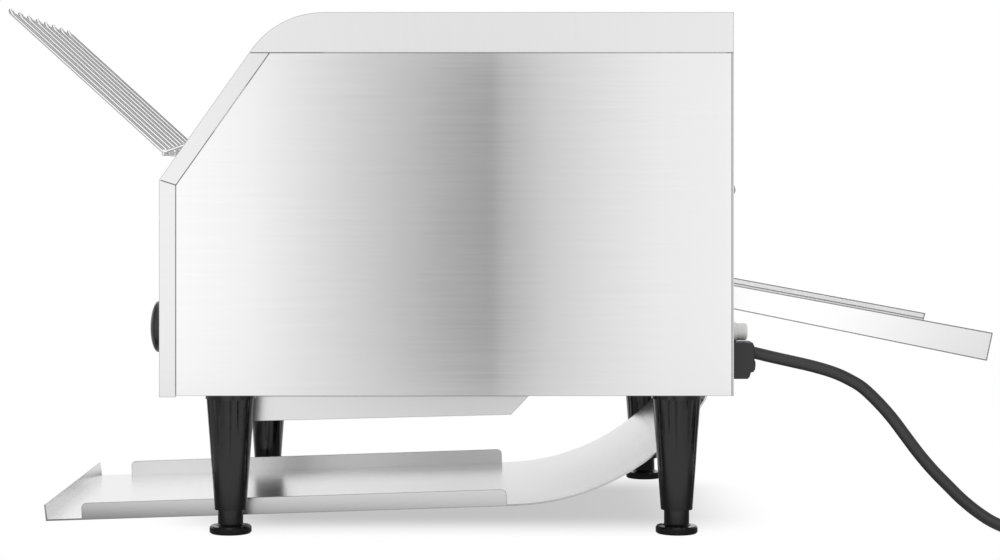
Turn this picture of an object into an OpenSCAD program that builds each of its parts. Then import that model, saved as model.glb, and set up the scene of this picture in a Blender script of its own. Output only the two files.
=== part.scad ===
// Conveyor toaster: bread slides down a wire rack onto a wire belt, is toasted between two banks of
// quartz heaters and drops at the back, to leave over the rear chute or forward over the front tray.
// X is the width, Y runs from the feeding side (-Y) to the back, Z is up and 0 is the worktop.

/* [Body] */
// Width of the body
body_w = 368; // [340:1:420]
// Depth of the body
body_d = 418; // [412:1:460]
// Height of the body, without its legs
body_h = 279; // [272:1:310]
// Thickness of the steel sheet
sheet_t = 1.2; // [0.8:0.1:1.5]
// Height of the upright part of the front
knee_h = 157; // [150:1:164]
// Lean of the sloping front, from upright
slope_angle = 35.3; // [32:0.1:37]
// Radius between the sloping front and the flat top
nose_r = 64; // [50:1:70]
// Depth of the top cover's skirt
skirt_h = 29.3; // [24:0.1:32]
// Width of the fascia's side returns
return_w = 12; // [8:0.5:16]
// Joint gap between two panels
panel_gap = 0.3; // [0.2:0.1:0.6]

/* [Legs and feet] */
// Leg centre from the side of the body
leg_inset_x = 29; // [24:1:34]
// Front leg centre from the front of the body
leg_inset_front = 49; // [40:1:60]
// Rear leg centre from the back of the body
leg_inset_rear = 39; // [32:1:50]
// Diameter of a leg's collar
collar_d = 37; // [34:0.5:40]
// Height of a leg's collar
collar_h = 4.4; // [3:0.1:6]
// Diameter of a leg below its collar
cone_top_d = 35.5; // [32:0.5:36]
// Diameter of a leg at its bottom
cone_bottom_d = 23.4; // [22.6:0.1:26]
// Height of a leg's cone
cone_h = 82; // [70:1:100]
// Number of flutes round a leg
flutes = 12; // [6:2:14]
// Diameter of a foot's stem
stem_d = 18.6; // [16:0.1:19]
// Stem length that shows under the leg
stem_show = 11.6; // [9:0.1:18]
// Diameter of a foot's disc
disc_d = 31; // [28:0.5:36]
// Thickness of a foot's disc
disc_h = 6; // [4:0.5:8]

/* [Toasting chamber] */
// Width between the inner side plates, in a body of the standard width
chamber_w = 268; // [262:1:276]
// Height of the belt shafts above the body's bottom
shaft_z = 150; // [147:1:152]
// Front shaft from the front of the body
shaft_inset = 46; // [44:1:52]
// Diameter of the shafts
shaft_d = 10; // [8:0.5:10]
// Outer diameter of the shaft bushes
bush_d = 16; // [14:0.5:18]
// Diameter of the quartz heaters
heater_d = 10; // [8:0.5:11]
// Height of the upper heaters above the body's bottom
upper_heater_z = 226; // [222:1:228]
// Lower heaters' height above the shafts' axis
lower_heater_rise = 4; // [2:0.5:6]
// Spacing of the heaters
heater_pitch = 90; // [60:1:94]

/* [Wire belt] */
// Width of the belt, in a body of the standard width
belt_w = 246; // [230:1:250]
// Thickness of the belt's wire
belt_wire = 1.8; // [1.4:0.1:2]
// Pitch of the belt's strands
belt_pitch = 16; // [15.6:0.1:16.2]
// Teeth of a belt sprocket
belt_teeth = 8; // [8:2:8]
// Strands along each run
run_links = 19; // [17:1:19]
// Hooked columns between the belt's edges
belt_columns = 3; // [3:2:5]
// Thickness of a belt sprocket
belt_sprocket_t = 4; // [3:0.5:5]

/* [Drive] */
// Pitch of the drive chain
chain_pitch = 6.35; // [6:0.05:6.5]
// Teeth of both chain sprockets
chain_teeth = 12; // [10:2:12]
// Links along each straight of the chain
chain_run = 12; // [10:1:12]
// Direction from the driven shaft to the motor
chain_angle = 244; // [238:1:250]
// Chain plane from the inner side plate
chain_offset = 9; // [8:0.5:10]

/* [Feed rack] */
// Number of wire loops
rack_loops = 8; // [6:1:9]
// Pitch of the loops, in a body of the standard width
rack_pitch = 35; // [30:0.5:35]
// Diameter of the rack's wire
rack_wire = 3; // [2.5:0.1:4]
// Width of a loop, between wire centres
loop_w = 12; // [10:0.5:16]
// Length of a loop
rack_len = 160; // [120:1:180]
// Slope of the rack
rack_angle = 42.3; // [38:0.1:46]
// Slope of the hooked ends
hook_angle = 19; // [15:1:22]
// Height of the rack's lower bend
rack_z = 178; // [174:1:181]
// Lower bend ahead of the front of the body
rack_out = 4; // [2:0.5:8]

/* [Front tray] */
// Width of the tray and the chute, in a body of the standard width
tray_w = 253; // [240:1:256]
// Front of the tray ahead of the body
tray_out = 93; // [70:1:110]
// Depth of the tray's front edge below the body
tray_drop = 99.7; // [92:0.1:100]
// Slope of the tray
tray_slope = 1.87; // [1:0.01:2.5]
// Height of the tray's side flanges
tray_flange = 12.3; // [8:0.1:16]
// Radius of the chute's curve
tray_r = 177; // [172:1:182]
// Start of the curve behind the body's middle
tray_bend_y = 52; // [46:1:56]

/* [Crumb tray] */
// Depth of the crumb tray at its front, below the body
crumb_front = 25.4; // [18:0.5:28]
// Slope of the crumb tray
crumb_slope = 1.43; // [1:0.01:2]
// Front of the crumb tray ahead of the body's middle
crumb_y0 = 180; // [170:1:186]
// Rear of the crumb tray's floor behind the body's middle
crumb_y1 = 48; // [30:1:48]

/* [Rear chute] */
// Rear chute's top corner behind the body
chute_out = 201.7; // [150:0.1:230]
// Floor slope of the rear chute
chute_slope = 11.5; // [9:0.1:13]
// Height of its floor where it leaves the body
chute_z = 61; // [58:0.5:66]
// Wall height where it leaves the body
chute_wall0 = 18.2; // [14:0.1:22]
// Wall height at its rear end
chute_wall1 = 22; // [18:0.1:26]

/* [Controls] */
// Height of the knobs above the body's bottom
knob_z = 45; // [38:1:56]
// Diameter of a knob
knob_d = 39; // [34:0.5:42]
// Length of a knob
knob_len = 16.4; // [12:0.1:20]
// Speed knob from the middle of the front
speed_x = 100; // [90:1:110]
// Selector knob from the middle of the front
selector_x = 38; // [30:1:44]
// Diameter of the knobs' spindles
spindle_d = 6; // [5:0.5:8]

/* [Power inlet] */
// Cord gland from the middle of the back
gland_x = 152; // [150:1:156]
// Height of the cord above the body's bottom
gland_z = 29.5; // [28:0.5:31]
// Length of the gland behind the body
gland_len = 17.6; // [16:0.1:19]
// Diameter of the cord
cord_d = 9; // [8:0.1:9]

/* [Hidden] */
$fn = 48;

fit = 0.05;          // radial running clearance of shafts and pins
slide_fit = 0.3;     // clearance of pieces that slide on one another
steel = "gainsboro";
bright = "silver";
black = [0.12, 0.12, 0.12];

front_y = -body_d / 2;
rear_y = body_d / 2;
side_x = body_w / 2;
standard_w = 368;
widening = (body_w - standard_w) / 2;
wall_x = chamber_w / 2 + widening;
tray_half = tray_w / 2 + widening;
bay_x = (wall_x + side_x) / 2;     // middle of the space beside the chamber
leg_h = collar_h + cone_h;
ride_h = leg_h + stem_show + disc_h;
skirt_z = body_h - skirt_h;

// The sloping front: its direction upwards and its inward normal, as [y, z]
slope_dir = [sin(slope_angle), cos(slope_angle)];
slope_in = [cos(slope_angle), -sin(slope_angle)];
function knee(t) = [front_y + t, knee_h - t * tan(slope_angle / 2)];
function on_slope(s, t = 0) = [front_y, knee_h] + s * slope_dir + t * slope_in;
function slope_at(z, t = 0) = knee(t) + (z - knee(t)[1]) / slope_dir[1] * slope_dir;
nose_c = [slope_at(body_h)[0] + nose_r * tan((90 - slope_angle) / 2), body_h - nose_r];
nose_start = nose_c - nose_r * slope_in;

// Rear chute, as a side view
chute_run = tan(chute_slope);
chute_rear_top = rear_y + chute_out;
chute_lean = 4.5;
chute_rear_bottom = chute_rear_top - chute_lean;
chute_inner_y = 118;
function chute_floor(y) = chute_z - (y - rear_y) * chute_run;
function chute_top(y) = chute_floor(y) + chute_wall0
    + (y - rear_y) / chute_out * (chute_wall1 - chute_wall0);

// The part's origin lies under the middle of its length, from the rack's tip to the rear chute's end
rack_y = front_y - rack_out;
tip_rise = loop_w / 4;     // end of a loop that is turned up
tip_turn = 70;
rack_tip_y = rack_y - (rack_len - tip_rise) * cos(rack_angle) - rack_wire / 2;
frame_y = (rack_tip_y + chute_rear_top) / 2;

// Belt geometry: the sprockets' pitch circle and the belt's front and rear shafts
belt_r = belt_pitch / (2 * sin(180 / belt_teeth));
shaft_y0 = front_y + shaft_inset;
shaft_y1 = shaft_y0 + run_links * belt_pitch;
arc_links = belt_teeth / 2;
strands = 2 * run_links + belt_teeth;
belt_half = belt_w / 2 + widening;
hook_lift = belt_wire * 1.45;
hook_reach = belt_pitch + belt_wire * 1.25;
hook_half = 5;
column_pitch = 2 * belt_half / (belt_columns + 1);
sprocket_xs = [for (i = [0 : belt_columns]) -belt_half + (i + 0.5) * column_pitch];

// Chain geometry
chain_r = chain_pitch / (2 * sin(180 / chain_teeth));
chain_x = wall_x + sheet_t + chain_offset;
chain_dir = [cos(chain_angle), sin(chain_angle)];
motor_axis = [shaft_y1, shaft_z] + chain_run * chain_pitch * chain_dir;

// Heaters
heater_ys = [for (i = [-1 : 1]) (shaft_y0 + shaft_y1) / 2 + i * heater_pitch];
lower_heater_z = shaft_z + lower_heater_rise;
cap_neck_d = heater_d + 3.4;
cap_d = heater_d + 7;
cap_len = 15;
tube_end_x = wall_x + 6;

mouth_s0 = 28;       // lower edge of the feed mouth, up the slope from the knee
mouth_s1 = 90;       // its upper edge
mouth_half = tray_half + 5;
seam_w = 0.35;       // mitred seam in the fascia's returns
outlet_z0 = chute_z - 5;
outlet_z1 = 128;

stem_len = 44;       // stem length inside and below the leg
bore_extra = 12;     // room above the stem in the leg
inlet_x = gland_x + widening;
gland_w = 24;
gland_h = 26.6;
gland_low = 19;      // depth of the gland below the cord
switch_depth = 26;
spindle_len = 24;
lamp_d = 9;
lamp_z = knob_z;
power_lamp_x = -44;
heating_lamp_x = -72;
bore_z = 12;         // depth of the bore in a knob
breaker_z = gland_z - gland_low + gland_h + 7.4;
collar_ring_d = 14.6;
collar_ring_h = 5.5;
button_d = 12.6;
button_len = 13.4;
screw_z = 150;
crumb_half = tray_half - 1;

// The cord's route, with x, y and height above the worktop in the part's own frame
cord_points = [
    [152, 194.7, 131.3], [152, 204, 129.1], [152.5, 219, 125.8], [153, 233, 122.5], [153.5, 247, 118.2],
    [154, 258, 113.2],
    [155, 268, 107], [156, 279.5, 96], [157, 289.5, 84.5], [158, 298, 73], [159.5, 308, 59.5],
    [161, 318, 47.5], [163, 329, 36], [165, 339, 26], [167, 350, 17], [169, 361, 10],
    [171, 373, 5.5], [171, 388, 4.7], [166, 408, 4.7], [157, 428, 4.7], [152, 446, 4.7]
];
tail_points = [[89, 511.4, 14.3], [75, 511.4, 16], [62, 511.4, 18], [59, 511.4, 18.6]];
coil_c = [98 + widening, 455];
coil_r = 54;
coil_pitch = 9.6;
coil_layer = 9.6;
coil_mid = 720;
coil_turn = 1530;
coil_z = 4.7;
plug_x = 50 + widening;
plug_y = 511.4;
plug_z = 18.6;
plug_r = 18.5;

// Places its children in the part's frame: their own y is 0 at the body's middle, z is 0 at its bottom
module on_body() translate([0, -frame_y, ride_h]) children();

// Extrudes a side view, drawn as [y, z], along X between two values
module side_view(x0, x1)
    translate([x0, 0, 0]) rotate([90, 0, 90]) linear_extrude(x1 - x0) children();

// A cylinder along X between two values, at [y, z]
module rod_x(p, d, x0, x1)
    translate([x0, p[0], p[1]]) rotate([0, 90, 0]) cylinder(d = d, h = x1 - x0);

// A cylinder along Y between two values, at [x, z]
module rod_y(p, d, y0, y1)
    translate([p[0], y0, p[1]]) rotate([-90, 0, 0]) cylinder(d = d, h = y1 - y0);

module mirrored_x() {
    children();
    mirror([1, 0, 0]) children();
}

// A strip of sheet in a side view, t thick to the left of the way from p to q
module strip(p, q, t) {
    d = (q - p) / norm(q - p);
    n = [-d[1], d[0]] * t;
    polygon([p, q, q + n, p + n]);
}

// The body's side view, inset by t all round
module outline(t = 0) {
    r = nose_r - t;
    a = nose_c - r * slope_in;
    b = [nose_c[0], body_h - t];
    polygon([[front_y + t, t], knee(t), a, nose_c, b, [rear_y - t, body_h - t], [rear_y - t, t]]);
    intersection() {
        translate(nose_c) circle(r = r, $fn = 96);
        polygon([nose_c, a, slope_at(body_h - t, t), b]);
    }
}

// Everything behind a line that follows the front at the distance t
module behind_front(t, z0, z1)
    polygon([[front_y + t, z0], knee(t), slope_at(z1, t), [rear_y, z1], [rear_y, z0]]);

module window(z0, z1) translate([front_y - 50, z0]) square([body_d + 100, z1 - z0]);

// Stadium between two points of a plane view
module stadium(p, q, d) {
    u = (q - p) / norm(q - p);
    n = [-u[1], u[0]] * d / 2;
    translate(p) circle(d = d, $fn = 24);
    translate(q) circle(d = d, $fn = 24);
    polygon([p + n, p - n, q - n, q + n]);
}

// ---- Casing ----

// Side panel, with a joggled upper edge behind the top cover's skirt and a flange on the base
module side_panel() color(steel) {
    lap = 12;
    back_y = rear_y - sheet_t - panel_gap;
    inner_x = side_x - 2 * sheet_t;
    side_view(side_x - sheet_t, side_x) intersection() {
        behind_front(return_w + panel_gap, 0, skirt_z - panel_gap);
        translate([-body_d, 0]) square([body_d + back_y, body_h]);
    }
    // Joggle: its lower half backs the panel and its upper half stands inside the skirt
    translate([inner_x, nose_c[0], skirt_z - lap]) cube([1.5 * sheet_t, back_y - nose_c[0] - 4, lap - panel_gap]);
    translate([inner_x, nose_c[0], skirt_z - lap / 2]) cube([sheet_t - 0.1, back_y - nose_c[0] - 4, 1.5 * lap]);
    translate([side_x - sheet_t - lap, front_y + return_w + 8, sheet_t])
        cube([lap + sheet_t / 2, body_d - return_w - 20, sheet_t]);
}

module front_fascia() color(steel) difference() {
    union() {
        side_view(-side_x, side_x) intersection() {
            difference() {
                behind_front(0, -1, skirt_z - panel_gap);
                behind_front(sheet_t, -2, body_h);
            }
            window(-1, skirt_z - panel_gap);
        }
        mirrored_x() side_view(side_x - sheet_t, side_x) intersection() {
            difference() {
                behind_front(0, -1, skirt_z - panel_gap);
                behind_front(return_w, -2, body_h);
            }
            window(-1, skirt_z - panel_gap);
        }
    }
    // Feed mouth, cut square to the slope
    side_view(-mouth_half, mouth_half) polygon([on_slope(mouth_s0, -5), on_slope(mouth_s1, -5),
        on_slope(mouth_s1, 8), on_slope(mouth_s0, 8)]);
    for (x = [speed_x, selector_x]) rod_y([x, knob_z], 10.2, front_y - 1, front_y + 5);
    for (x = [power_lamp_x, heating_lamp_x]) rod_y([x, lamp_z], lamp_d, front_y - 1, front_y + 5);
    // Mitred seam across each return at the knee
    mirrored_x() side_view(side_x - 2 * sheet_t, side_x + 1)
        strip(knee(sheet_t), knee(return_w + 2), seam_w);
}

module top_cover() color(steel) {
    side_view(-side_x, side_x) intersection() {
        difference() {
            outline(0);
            outline(sheet_t);
        }
        window(skirt_z, body_h + 1);
        translate([nose_start[0] - 1, 0]) square([body_d, body_h + 1]);
    }
    mirrored_x() side_view(side_x - sheet_t, side_x) intersection() {
        outline(0);
        window(skirt_z, body_h + 1);
    }
}

module louvres(x, z) for (i = [0 : 4])
    rotate([90, 0, 0]) translate([0, 0, -rear_y - 5]) linear_extrude(10)
        stadium([x - 15, z + i * 9], [x + 15, z + i * 9], 3.4);

module rear_panel() color(steel) difference() {
    translate([-side_x, rear_y - sheet_t, 0]) cube([body_w, sheet_t, skirt_z - panel_gap]);
    translate([-tray_half - 4, rear_y - 5, outlet_z0]) cube([2 * tray_half + 8, 10, outlet_z1 - outlet_z0]);
    mirrored_x() louvres(bay_x, 176);
    louvres(-bay_x, 60);
    rod_y([inlet_x, gland_z], 14, rear_y - 5, rear_y + 5);
    rod_y([inlet_x, breaker_z], 9.6, rear_y - 5, rear_y + 5);
    mirrored_x() rod_y([side_x - 8, screw_z], 4.2, rear_y - 5, rear_y + 5);
}

leg_x = side_x - leg_inset_x;
leg_y0 = front_y + leg_inset_front;
leg_y1 = rear_y - leg_inset_rear;
leg_spots = [[-leg_x, leg_y0], [leg_x, leg_y0], [-leg_x, leg_y1], [leg_x, leg_y1]];
stud_d = 6;

module base_plate() color(bright) difference() {
    translate([-side_x + sheet_t, front_y + sheet_t, 0])
        cube([body_w - 2 * sheet_t, body_d - 2 * sheet_t - panel_gap, sheet_t]);
    // Window over the crumb tray
    translate([-crumb_half + 8, -crumb_y0 + 30, -1])
        cube([2 * crumb_half - 16, crumb_y0 + crumb_y1 - 30, 5]);
    // Way out over the front tray's chute
    translate([-tray_half - 3, crumb_y1 + 24, -1])
        cube([2 * tray_half + 6, rear_y - 8 - crumb_y1 - 24, 5]);
    for (p = leg_spots) translate([p[0], p[1], -1]) cylinder(d = stud_d + 0.4, h = 5);
}

// ---- Toasting chamber ----

module inner_plate() color(bright) {
    flange = 12;
    top_z = body_h - 2 * sheet_t - 6;
    difference() {
        side_view(wall_x, wall_x + sheet_t) intersection() {
            behind_front(return_w, sheet_t, top_z);
            window(sheet_t, top_z);
            union() {
                outline(2 * sheet_t + 4);
                window(0, knee_h / 2);
            }
            translate([-body_d, 0]) square([body_d + rear_y - 2 * sheet_t - 4, body_h]);
        }
        for (y = [shaft_y0, shaft_y1]) rod_x([y, shaft_z], bush_d + 0.1, wall_x - 1, wall_x + 3);
        for (y = heater_ys) {
            rod_x([y, upper_heater_z], cap_neck_d + 0.2, wall_x - 1, wall_x + 3);
            rod_x([y, lower_heater_z], cap_neck_d + 0.2, wall_x - 1, wall_x + 3);
        }
    }
    // Foot flange on the base plate
    translate([wall_x, -crumb_y0 + 5, sheet_t]) cube([flange, leg_y1 + crumb_y0 - 30, sheet_t]);
}

module upper_reflector() color(bright) {
    z = upper_heater_z + 17;
    lip = 14;
    vee = 7;
    y0 = heater_ys[0] - heater_pitch * 0.35;
    y1 = heater_ys[2] + heater_pitch * 0.35;
    half = wall_x - slide_fit;
    side_view(-half, half) {
        strip([y0, z - lip], [y0, z], sheet_t);
        strip([y0 - sheet_t, z], [heater_ys[0], z], sheet_t);
        for (i = [0 : 1]) {
            a = heater_ys[i];
            b = heater_ys[i + 1];
            m = (a + b) / 2;
            polygon([[a, z], [m - 12, z], [m, z - vee], [m + 12, z], [b, z], [b, z + sheet_t],
                [m + 12, z + sheet_t], [m, z + sheet_t - vee], [m - 12, z + sheet_t], [a, z + sheet_t]]);
        }
        strip([heater_ys[2], z], [y1 + sheet_t, z], sheet_t);
        strip([y1, z], [y1, z - lip], sheet_t);
    }
}

module lower_reflector() color(bright) {
    z = shaft_z - belt_r + 9;
    y0 = shaft_y0 + belt_r + 12;
    y1 = shaft_y1 - belt_r - 12;
    half = wall_x - slide_fit;
    side_view(-half, half) polygon([[y0 - 4, z + 7], [y0, z], [y1, z], [y1 + 4, z + 7],
        [y1 + 4 - 1.2 * sheet_t, z + 7], [y1 - 0.6 * sheet_t, z + sheet_t],
        [y0 + 0.6 * sheet_t, z + sheet_t], [y0 - 4 + 1.2 * sheet_t, z + 7]]);
}

module heater_bank(z) color("ivory") for (y = heater_ys) rod_x([y, z], heater_d, -tube_end_x, tube_end_x);

module heater_end_caps() color("white") mirrored_x()
    for (y = heater_ys, z = [upper_heater_z, lower_heater_z]) difference() {
        union() {
            rod_x([y, z], cap_neck_d, wall_x - 1.5, wall_x + sheet_t + 2);
            rod_x([y, z], cap_d, wall_x + sheet_t + 0.05, wall_x + sheet_t + cap_len);
        }
        rod_x([y, z], heater_d + 0.2, wall_x - 3, tube_end_x + 0.3);
        rod_x([y, z], 3, tube_end_x, wall_x + 40);
    }

module shaft_bushes() color("peru") mirrored_x() for (y = [shaft_y0, shaft_y1]) difference() {
    union() {
        rod_x([y, shaft_z], bush_d, wall_x - 0.5, wall_x + sheet_t + 2.5);
        rod_x([y, shaft_z], bush_d + 5, wall_x - 2.1, wall_x - 0.1);
    }
    rod_x([y, shaft_z], shaft_d + 2 * fit, wall_x - 5, wall_x + 10);
}

module motor_bush() color("peru") difference() {
    rod_x(motor_axis, motor_bush_d, gearbox_x + 0.2, gearbox_x + 6.95);
    rod_x(motor_axis, motor_shaft_d + 2 * fit, gearbox_x - 1, gearbox_x + 8);
}

// ---- Wire belt and its shafts ----

// Place and outward direction of strand k, round the front and rear sprockets
function strand_turn(k) = k <= run_links ? 0
    : k < run_links + arc_links ? (k - run_links) * 360 / belt_teeth
    : k <= 2 * run_links + arc_links ? 180
    : 180 + (k - 2 * run_links - arc_links) * 360 / belt_teeth;
function strand_y(k) = k <= run_links ? shaft_y0 + k * belt_pitch
    : k < run_links + arc_links ? shaft_y1 + belt_r * sin(strand_turn(k))
    : k <= 2 * run_links + arc_links ? shaft_y1 - (k - run_links - arc_links) * belt_pitch
    : shaft_y0 + belt_r * sin(strand_turn(k));
function strand_at(k) = [strand_y(k), shaft_z + belt_r * cos(strand_turn(k))];
function strand_out(k) = [sin(strand_turn(k)), cos(strand_turn(k))];

// Centre line of one strand: straight wires between columns of hooks that reach over the last strand
strand_path = concat(
    [[-belt_half + hook_half, hook_reach], [-belt_half, hook_reach], [-belt_half, 0]],
    [for (i = [1 : belt_columns], q = [[-1, 0], [-1, 1], [1, 1], [1, 0]])
        [-belt_half + i * column_pitch + q[0] * hook_half, q[1] * hook_reach]],
    [[belt_half, 0], [belt_half, hook_reach], [belt_half - hook_half, hook_reach]]);
function path_normal(p, i) = let (d = (p[i + 1] - p[i]) / norm(p[i + 1] - p[i])) [-d[1], d[0]];
function path_side(p, w) = [for (i = [0 : len(p) - 1])
    i == 0 ? p[0] + w * path_normal(p, 0)
    : i == len(p) - 1 ? p[i] + w * path_normal(p, i - 1)
    : let (n0 = path_normal(p, i - 1), n1 = path_normal(p, i)) p[i] + w * (n0 + n1) / (1 + n0 * n1)];
function backwards(p) = [for (i = [len(p) - 1 : -1 : 0]) p[i]];

module strand() linear_extrude(belt_wire, center = true)
    polygon(concat(path_side(strand_path, belt_wire / 2), backwards(path_side(strand_path, -belt_wire / 2))));

module conveyor_belt() color("silver") for (k = [0 : strands - 1]) {
    last = (k + strands - 1) % strands;
    p = strand_at(k);
    d = strand_at(last) + hook_lift * strand_out(last) - p;
    translate([0, p[0], p[1]]) rotate([atan2(d[1], d[0]), 0, 0]) strand();
}

// Disc with seats for rollers or wires, opened above each seat for the one that is leaving it
module toothed_disc(r, teeth, seat_r, tip, t) linear_extrude(t, center = true) {
    pitch = 2 * r * sin(180 / teeth);
    leaving = norm([r, pitch]);
    off = 360 / teeth - atan(pitch / r);
    difference() {
        circle(r = r + tip, $fn = 96);
        for (i = [0 : teeth - 1]) rotate(i * 360 / teeth) {
            translate([r, 0]) circle(r = seat_r, $fn = 24);
            translate([leaving * cos(off), 0]) circle(r = seat_r + leaving * sin(off), $fn = 24);
        }
    }
}

// Sprocket on a shaft along X, with its first seat pointing at the angle a
module sprocket_x(p, x, r, teeth, seat_r, tip, t, hub_d, hub_l, a, bore)
    translate([x, p[0], p[1]]) rotate([90, 0, 90]) rotate(a) difference() {
        union() {
            toothed_disc(r, teeth, seat_r, tip, t);
            cylinder(d = hub_d, h = hub_l, center = true);
        }
        cylinder(d = bore, h = hub_l + 10, center = true);
    }

module belt_sprockets(y) color("darkgray") for (x = sprocket_xs)
    sprocket_x([y, shaft_z], x, belt_r, belt_teeth, belt_wire * 1.15, 1.6, belt_sprocket_t,
        shaft_d + 8, belt_sprocket_t + 8, 90, shaft_d + 0.04);

module belt_shaft(y, x0, x1) color("dimgray") {
    rod_x([y, shaft_z], shaft_d, x0, x1);
    // Retaining rings inside the bushes
    mirrored_x() rod_x([y, shaft_z], shaft_d + 4, wall_x - 4, wall_x - 2.8);
}

module drive_shaft() belt_shaft(shaft_y1, -wall_x - 7, chain_x + 6);
module idler_shaft() belt_shaft(shaft_y0, -wall_x - 7, wall_x + 7);

// ---- Chain drive ----

chain_links = 2 * chain_run + chain_teeth;
chain_roll = 3.3;
chain_pin = 2;
chain_plate_h = 5.4;
chain_plate_t = 0.7;
chain_inner_x = 1.7;
chain_side = [-chain_dir[1], chain_dir[0]];

// Joint k of the chain: along one straight, round the motor's sprocket, back and round the driven one
function chain_turn(k) = k <= chain_run ? 0
    : k < chain_run + chain_teeth / 2 ? (k - chain_run) * 360 / chain_teeth
    : k <= 2 * chain_run + chain_teeth / 2 ? 180
    : 180 + (k - 2 * chain_run - chain_teeth / 2) * 360 / chain_teeth;
function chain_along(k) = k <= chain_run ? k * chain_pitch
    : k < chain_run + chain_teeth / 2 ? chain_run * chain_pitch + chain_r * sin(chain_turn(k))
    : k <= 2 * chain_run + chain_teeth / 2 ? (2 * chain_run + chain_teeth / 2 - k) * chain_pitch
    : chain_r * sin(chain_turn(k));
function chain_at(k) = [shaft_y1, shaft_z] + chain_along(k) * chain_dir
    + chain_r * cos(chain_turn(k)) * chain_side;

module chain_plates(p, q, x) for (s = [-1, 1])
    side_view(chain_x + s * x - chain_plate_t / 2, chain_x + s * x + chain_plate_t / 2)
        stadium(p, q, chain_plate_h);

module drive_chain() color("dimgray") for (k = [0 : chain_links - 1]) {
    p = chain_at(k);
    q = chain_at((k + 1) % chain_links);
    if (k % 2 == 0) difference() {
        union() {
            chain_plates(p, q, chain_inner_x);
            for (c = [p, q]) rod_x(c, chain_roll, chain_x - chain_inner_x, chain_x + chain_inner_x);
        }
        for (c = [p, q]) rod_x(c, chain_pin + 2 * fit, chain_x - 5, chain_x + 5);
    }
    if (k % 2 == 1) {
        chain_plates(p, q, chain_inner_x + chain_plate_t + 0.2);
        for (c = [p, q]) rod_x(c, chain_pin, chain_x - 3.3, chain_x + 3.3);
    }
}

module chain_sprocket(p, hub, bore) color("dimgray")
    sprocket_x(p, chain_x, chain_r, chain_teeth, chain_roll / 2 + 0.12, 1.5, 2.2, hub, 2.2, 90 +
        chain_angle, bore);

motor_shaft_d = 8;
motor_bush_d = 16;
gearbox_x = chain_x + 6.5;
motor_room = 0.8;    // from the side panel
motor_can_d = side_x - sheet_t - motor_room - gearbox_x;
gearbox_t = 0.7 * motor_can_d;
bracket_x = gearbox_x - 1.5;

module motor_sprocket() {
    chain_sprocket(motor_axis, 14, motor_shaft_d - 1);
    color("silver") rod_x(motor_axis, motor_shaft_d, chain_x - 3, gearbox_x + 6);
}

module gear_motor() color("darkslategray") {
    gb = [58, 40];
    difference() {
        translate([gearbox_x, motor_axis[0] - gb[0] + 18, motor_axis[1] - gb[1] / 2])
            cube([gearbox_t, gb[0], gb[1]]);
        rod_x(motor_axis, motor_bush_d + 0.1, gearbox_x - 1, gearbox_x + 7);
    }
    rod_y([gearbox_x + motor_can_d / 2, motor_axis[1] - 2], motor_can_d - 0.4, motor_axis[0] - 97,
        motor_axis[0] - 39);
}

module motor_bracket() color(bright) {
    difference() {
        translate([bracket_x, motor_axis[0] - 46, motor_axis[1] - 26]) cube([1.5, 70, 52]);
        rod_x(motor_axis, 20, bracket_x - 1, bracket_x + 5);
        // Room for the chain's upper end
        side_view(bracket_x - 1, bracket_x + 5) stadium(motor_axis, motor_axis - 40 * chain_dir, 12);
    }
    for (y = [motor_axis[0] - 46, motor_axis[0] + 22.5])
        translate([wall_x + sheet_t, y, motor_axis[1] - 26]) cube([bracket_x - wall_x - sheet_t, 1.5, 30]);
}

// ---- Controls ----

module switch_body(x, w, h) color("dimgray") difference() {
    union() {
        translate([x - w / 2, front_y + sheet_t + 0.1, knob_z - h / 2]) cube([w, switch_depth, h]);
        rod_y([x, knob_z], 10, front_y - 2, front_y + 4);
    }
    rod_y([x, knob_z], spindle_d + 2 * fit, front_y - 5, front_y + sheet_t + 12);
}

module spindle(x) color("silver") rod_y([x, knob_z], spindle_d, front_y - bore_z, front_y + sheet_t + 11);

// A point of a knob's domed face, in a section through its middle
dome = 5.6;
function dome_at(a, inset = 0) =
    [(knob_d / 2 - inset) * cos(a), knob_len - dome + (dome - inset) * sin(a)];

// Knob with a domed face, a waist behind it and a pointer groove
module knob(x) color(black) translate([x, front_y - 1, knob_z]) rotate([90, 0, 0]) difference() {
    r = knob_d / 2;
    groove = 0.6;
    rotate_extrude($fn = 96) polygon(concat([[0, 0], [r - 1.5, 0], [r - 1.5, 3], [r, 4.5]],
        [for (a = [0 : 9 : 81]) dome_at(a)], [[0, knob_len]]));
    translate([0, 0, -1]) cylinder(d = spindle_d + 2 * fit, h = bore_z + 1);
    translate([0, 0, -1]) cylinder(d = 16, h = 3);
    translate([-0.8, 0, 0]) rotate([90, 0, 90]) linear_extrude(1.6) polygon(concat(
        [for (a = [0 : 9 : 72]) dome_at(a, groove)],
        [[dome_at(72, groove)[0], knob_len + 1], [r + 1, knob_len + 1], [r + 1, knob_len - dome]]));
}

module lamp(x, tint) color(tint) {
    rod_y([x, lamp_z], lamp_d - 0.2, front_y - 1.5, front_y + 14);
    translate([x, front_y - 0.05, lamp_z]) rotate([90, 0, 0]) intersection() {
        cylinder(d = lamp_d + 3, h = 3.4);
        translate([0, 0, -7]) sphere(r = 10, $fn = 48);
    }
}

// ---- Power inlet ----

module terminal_block() color("ivory") difference() {
    translate([wall_x + 15, 85, sheet_t]) cube([18, 60, 16]);
    for (i = [0 : 4]) translate([wall_x + 24, 93 + i * 11, 6]) cylinder(d = 5, h = 20);
}

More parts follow.
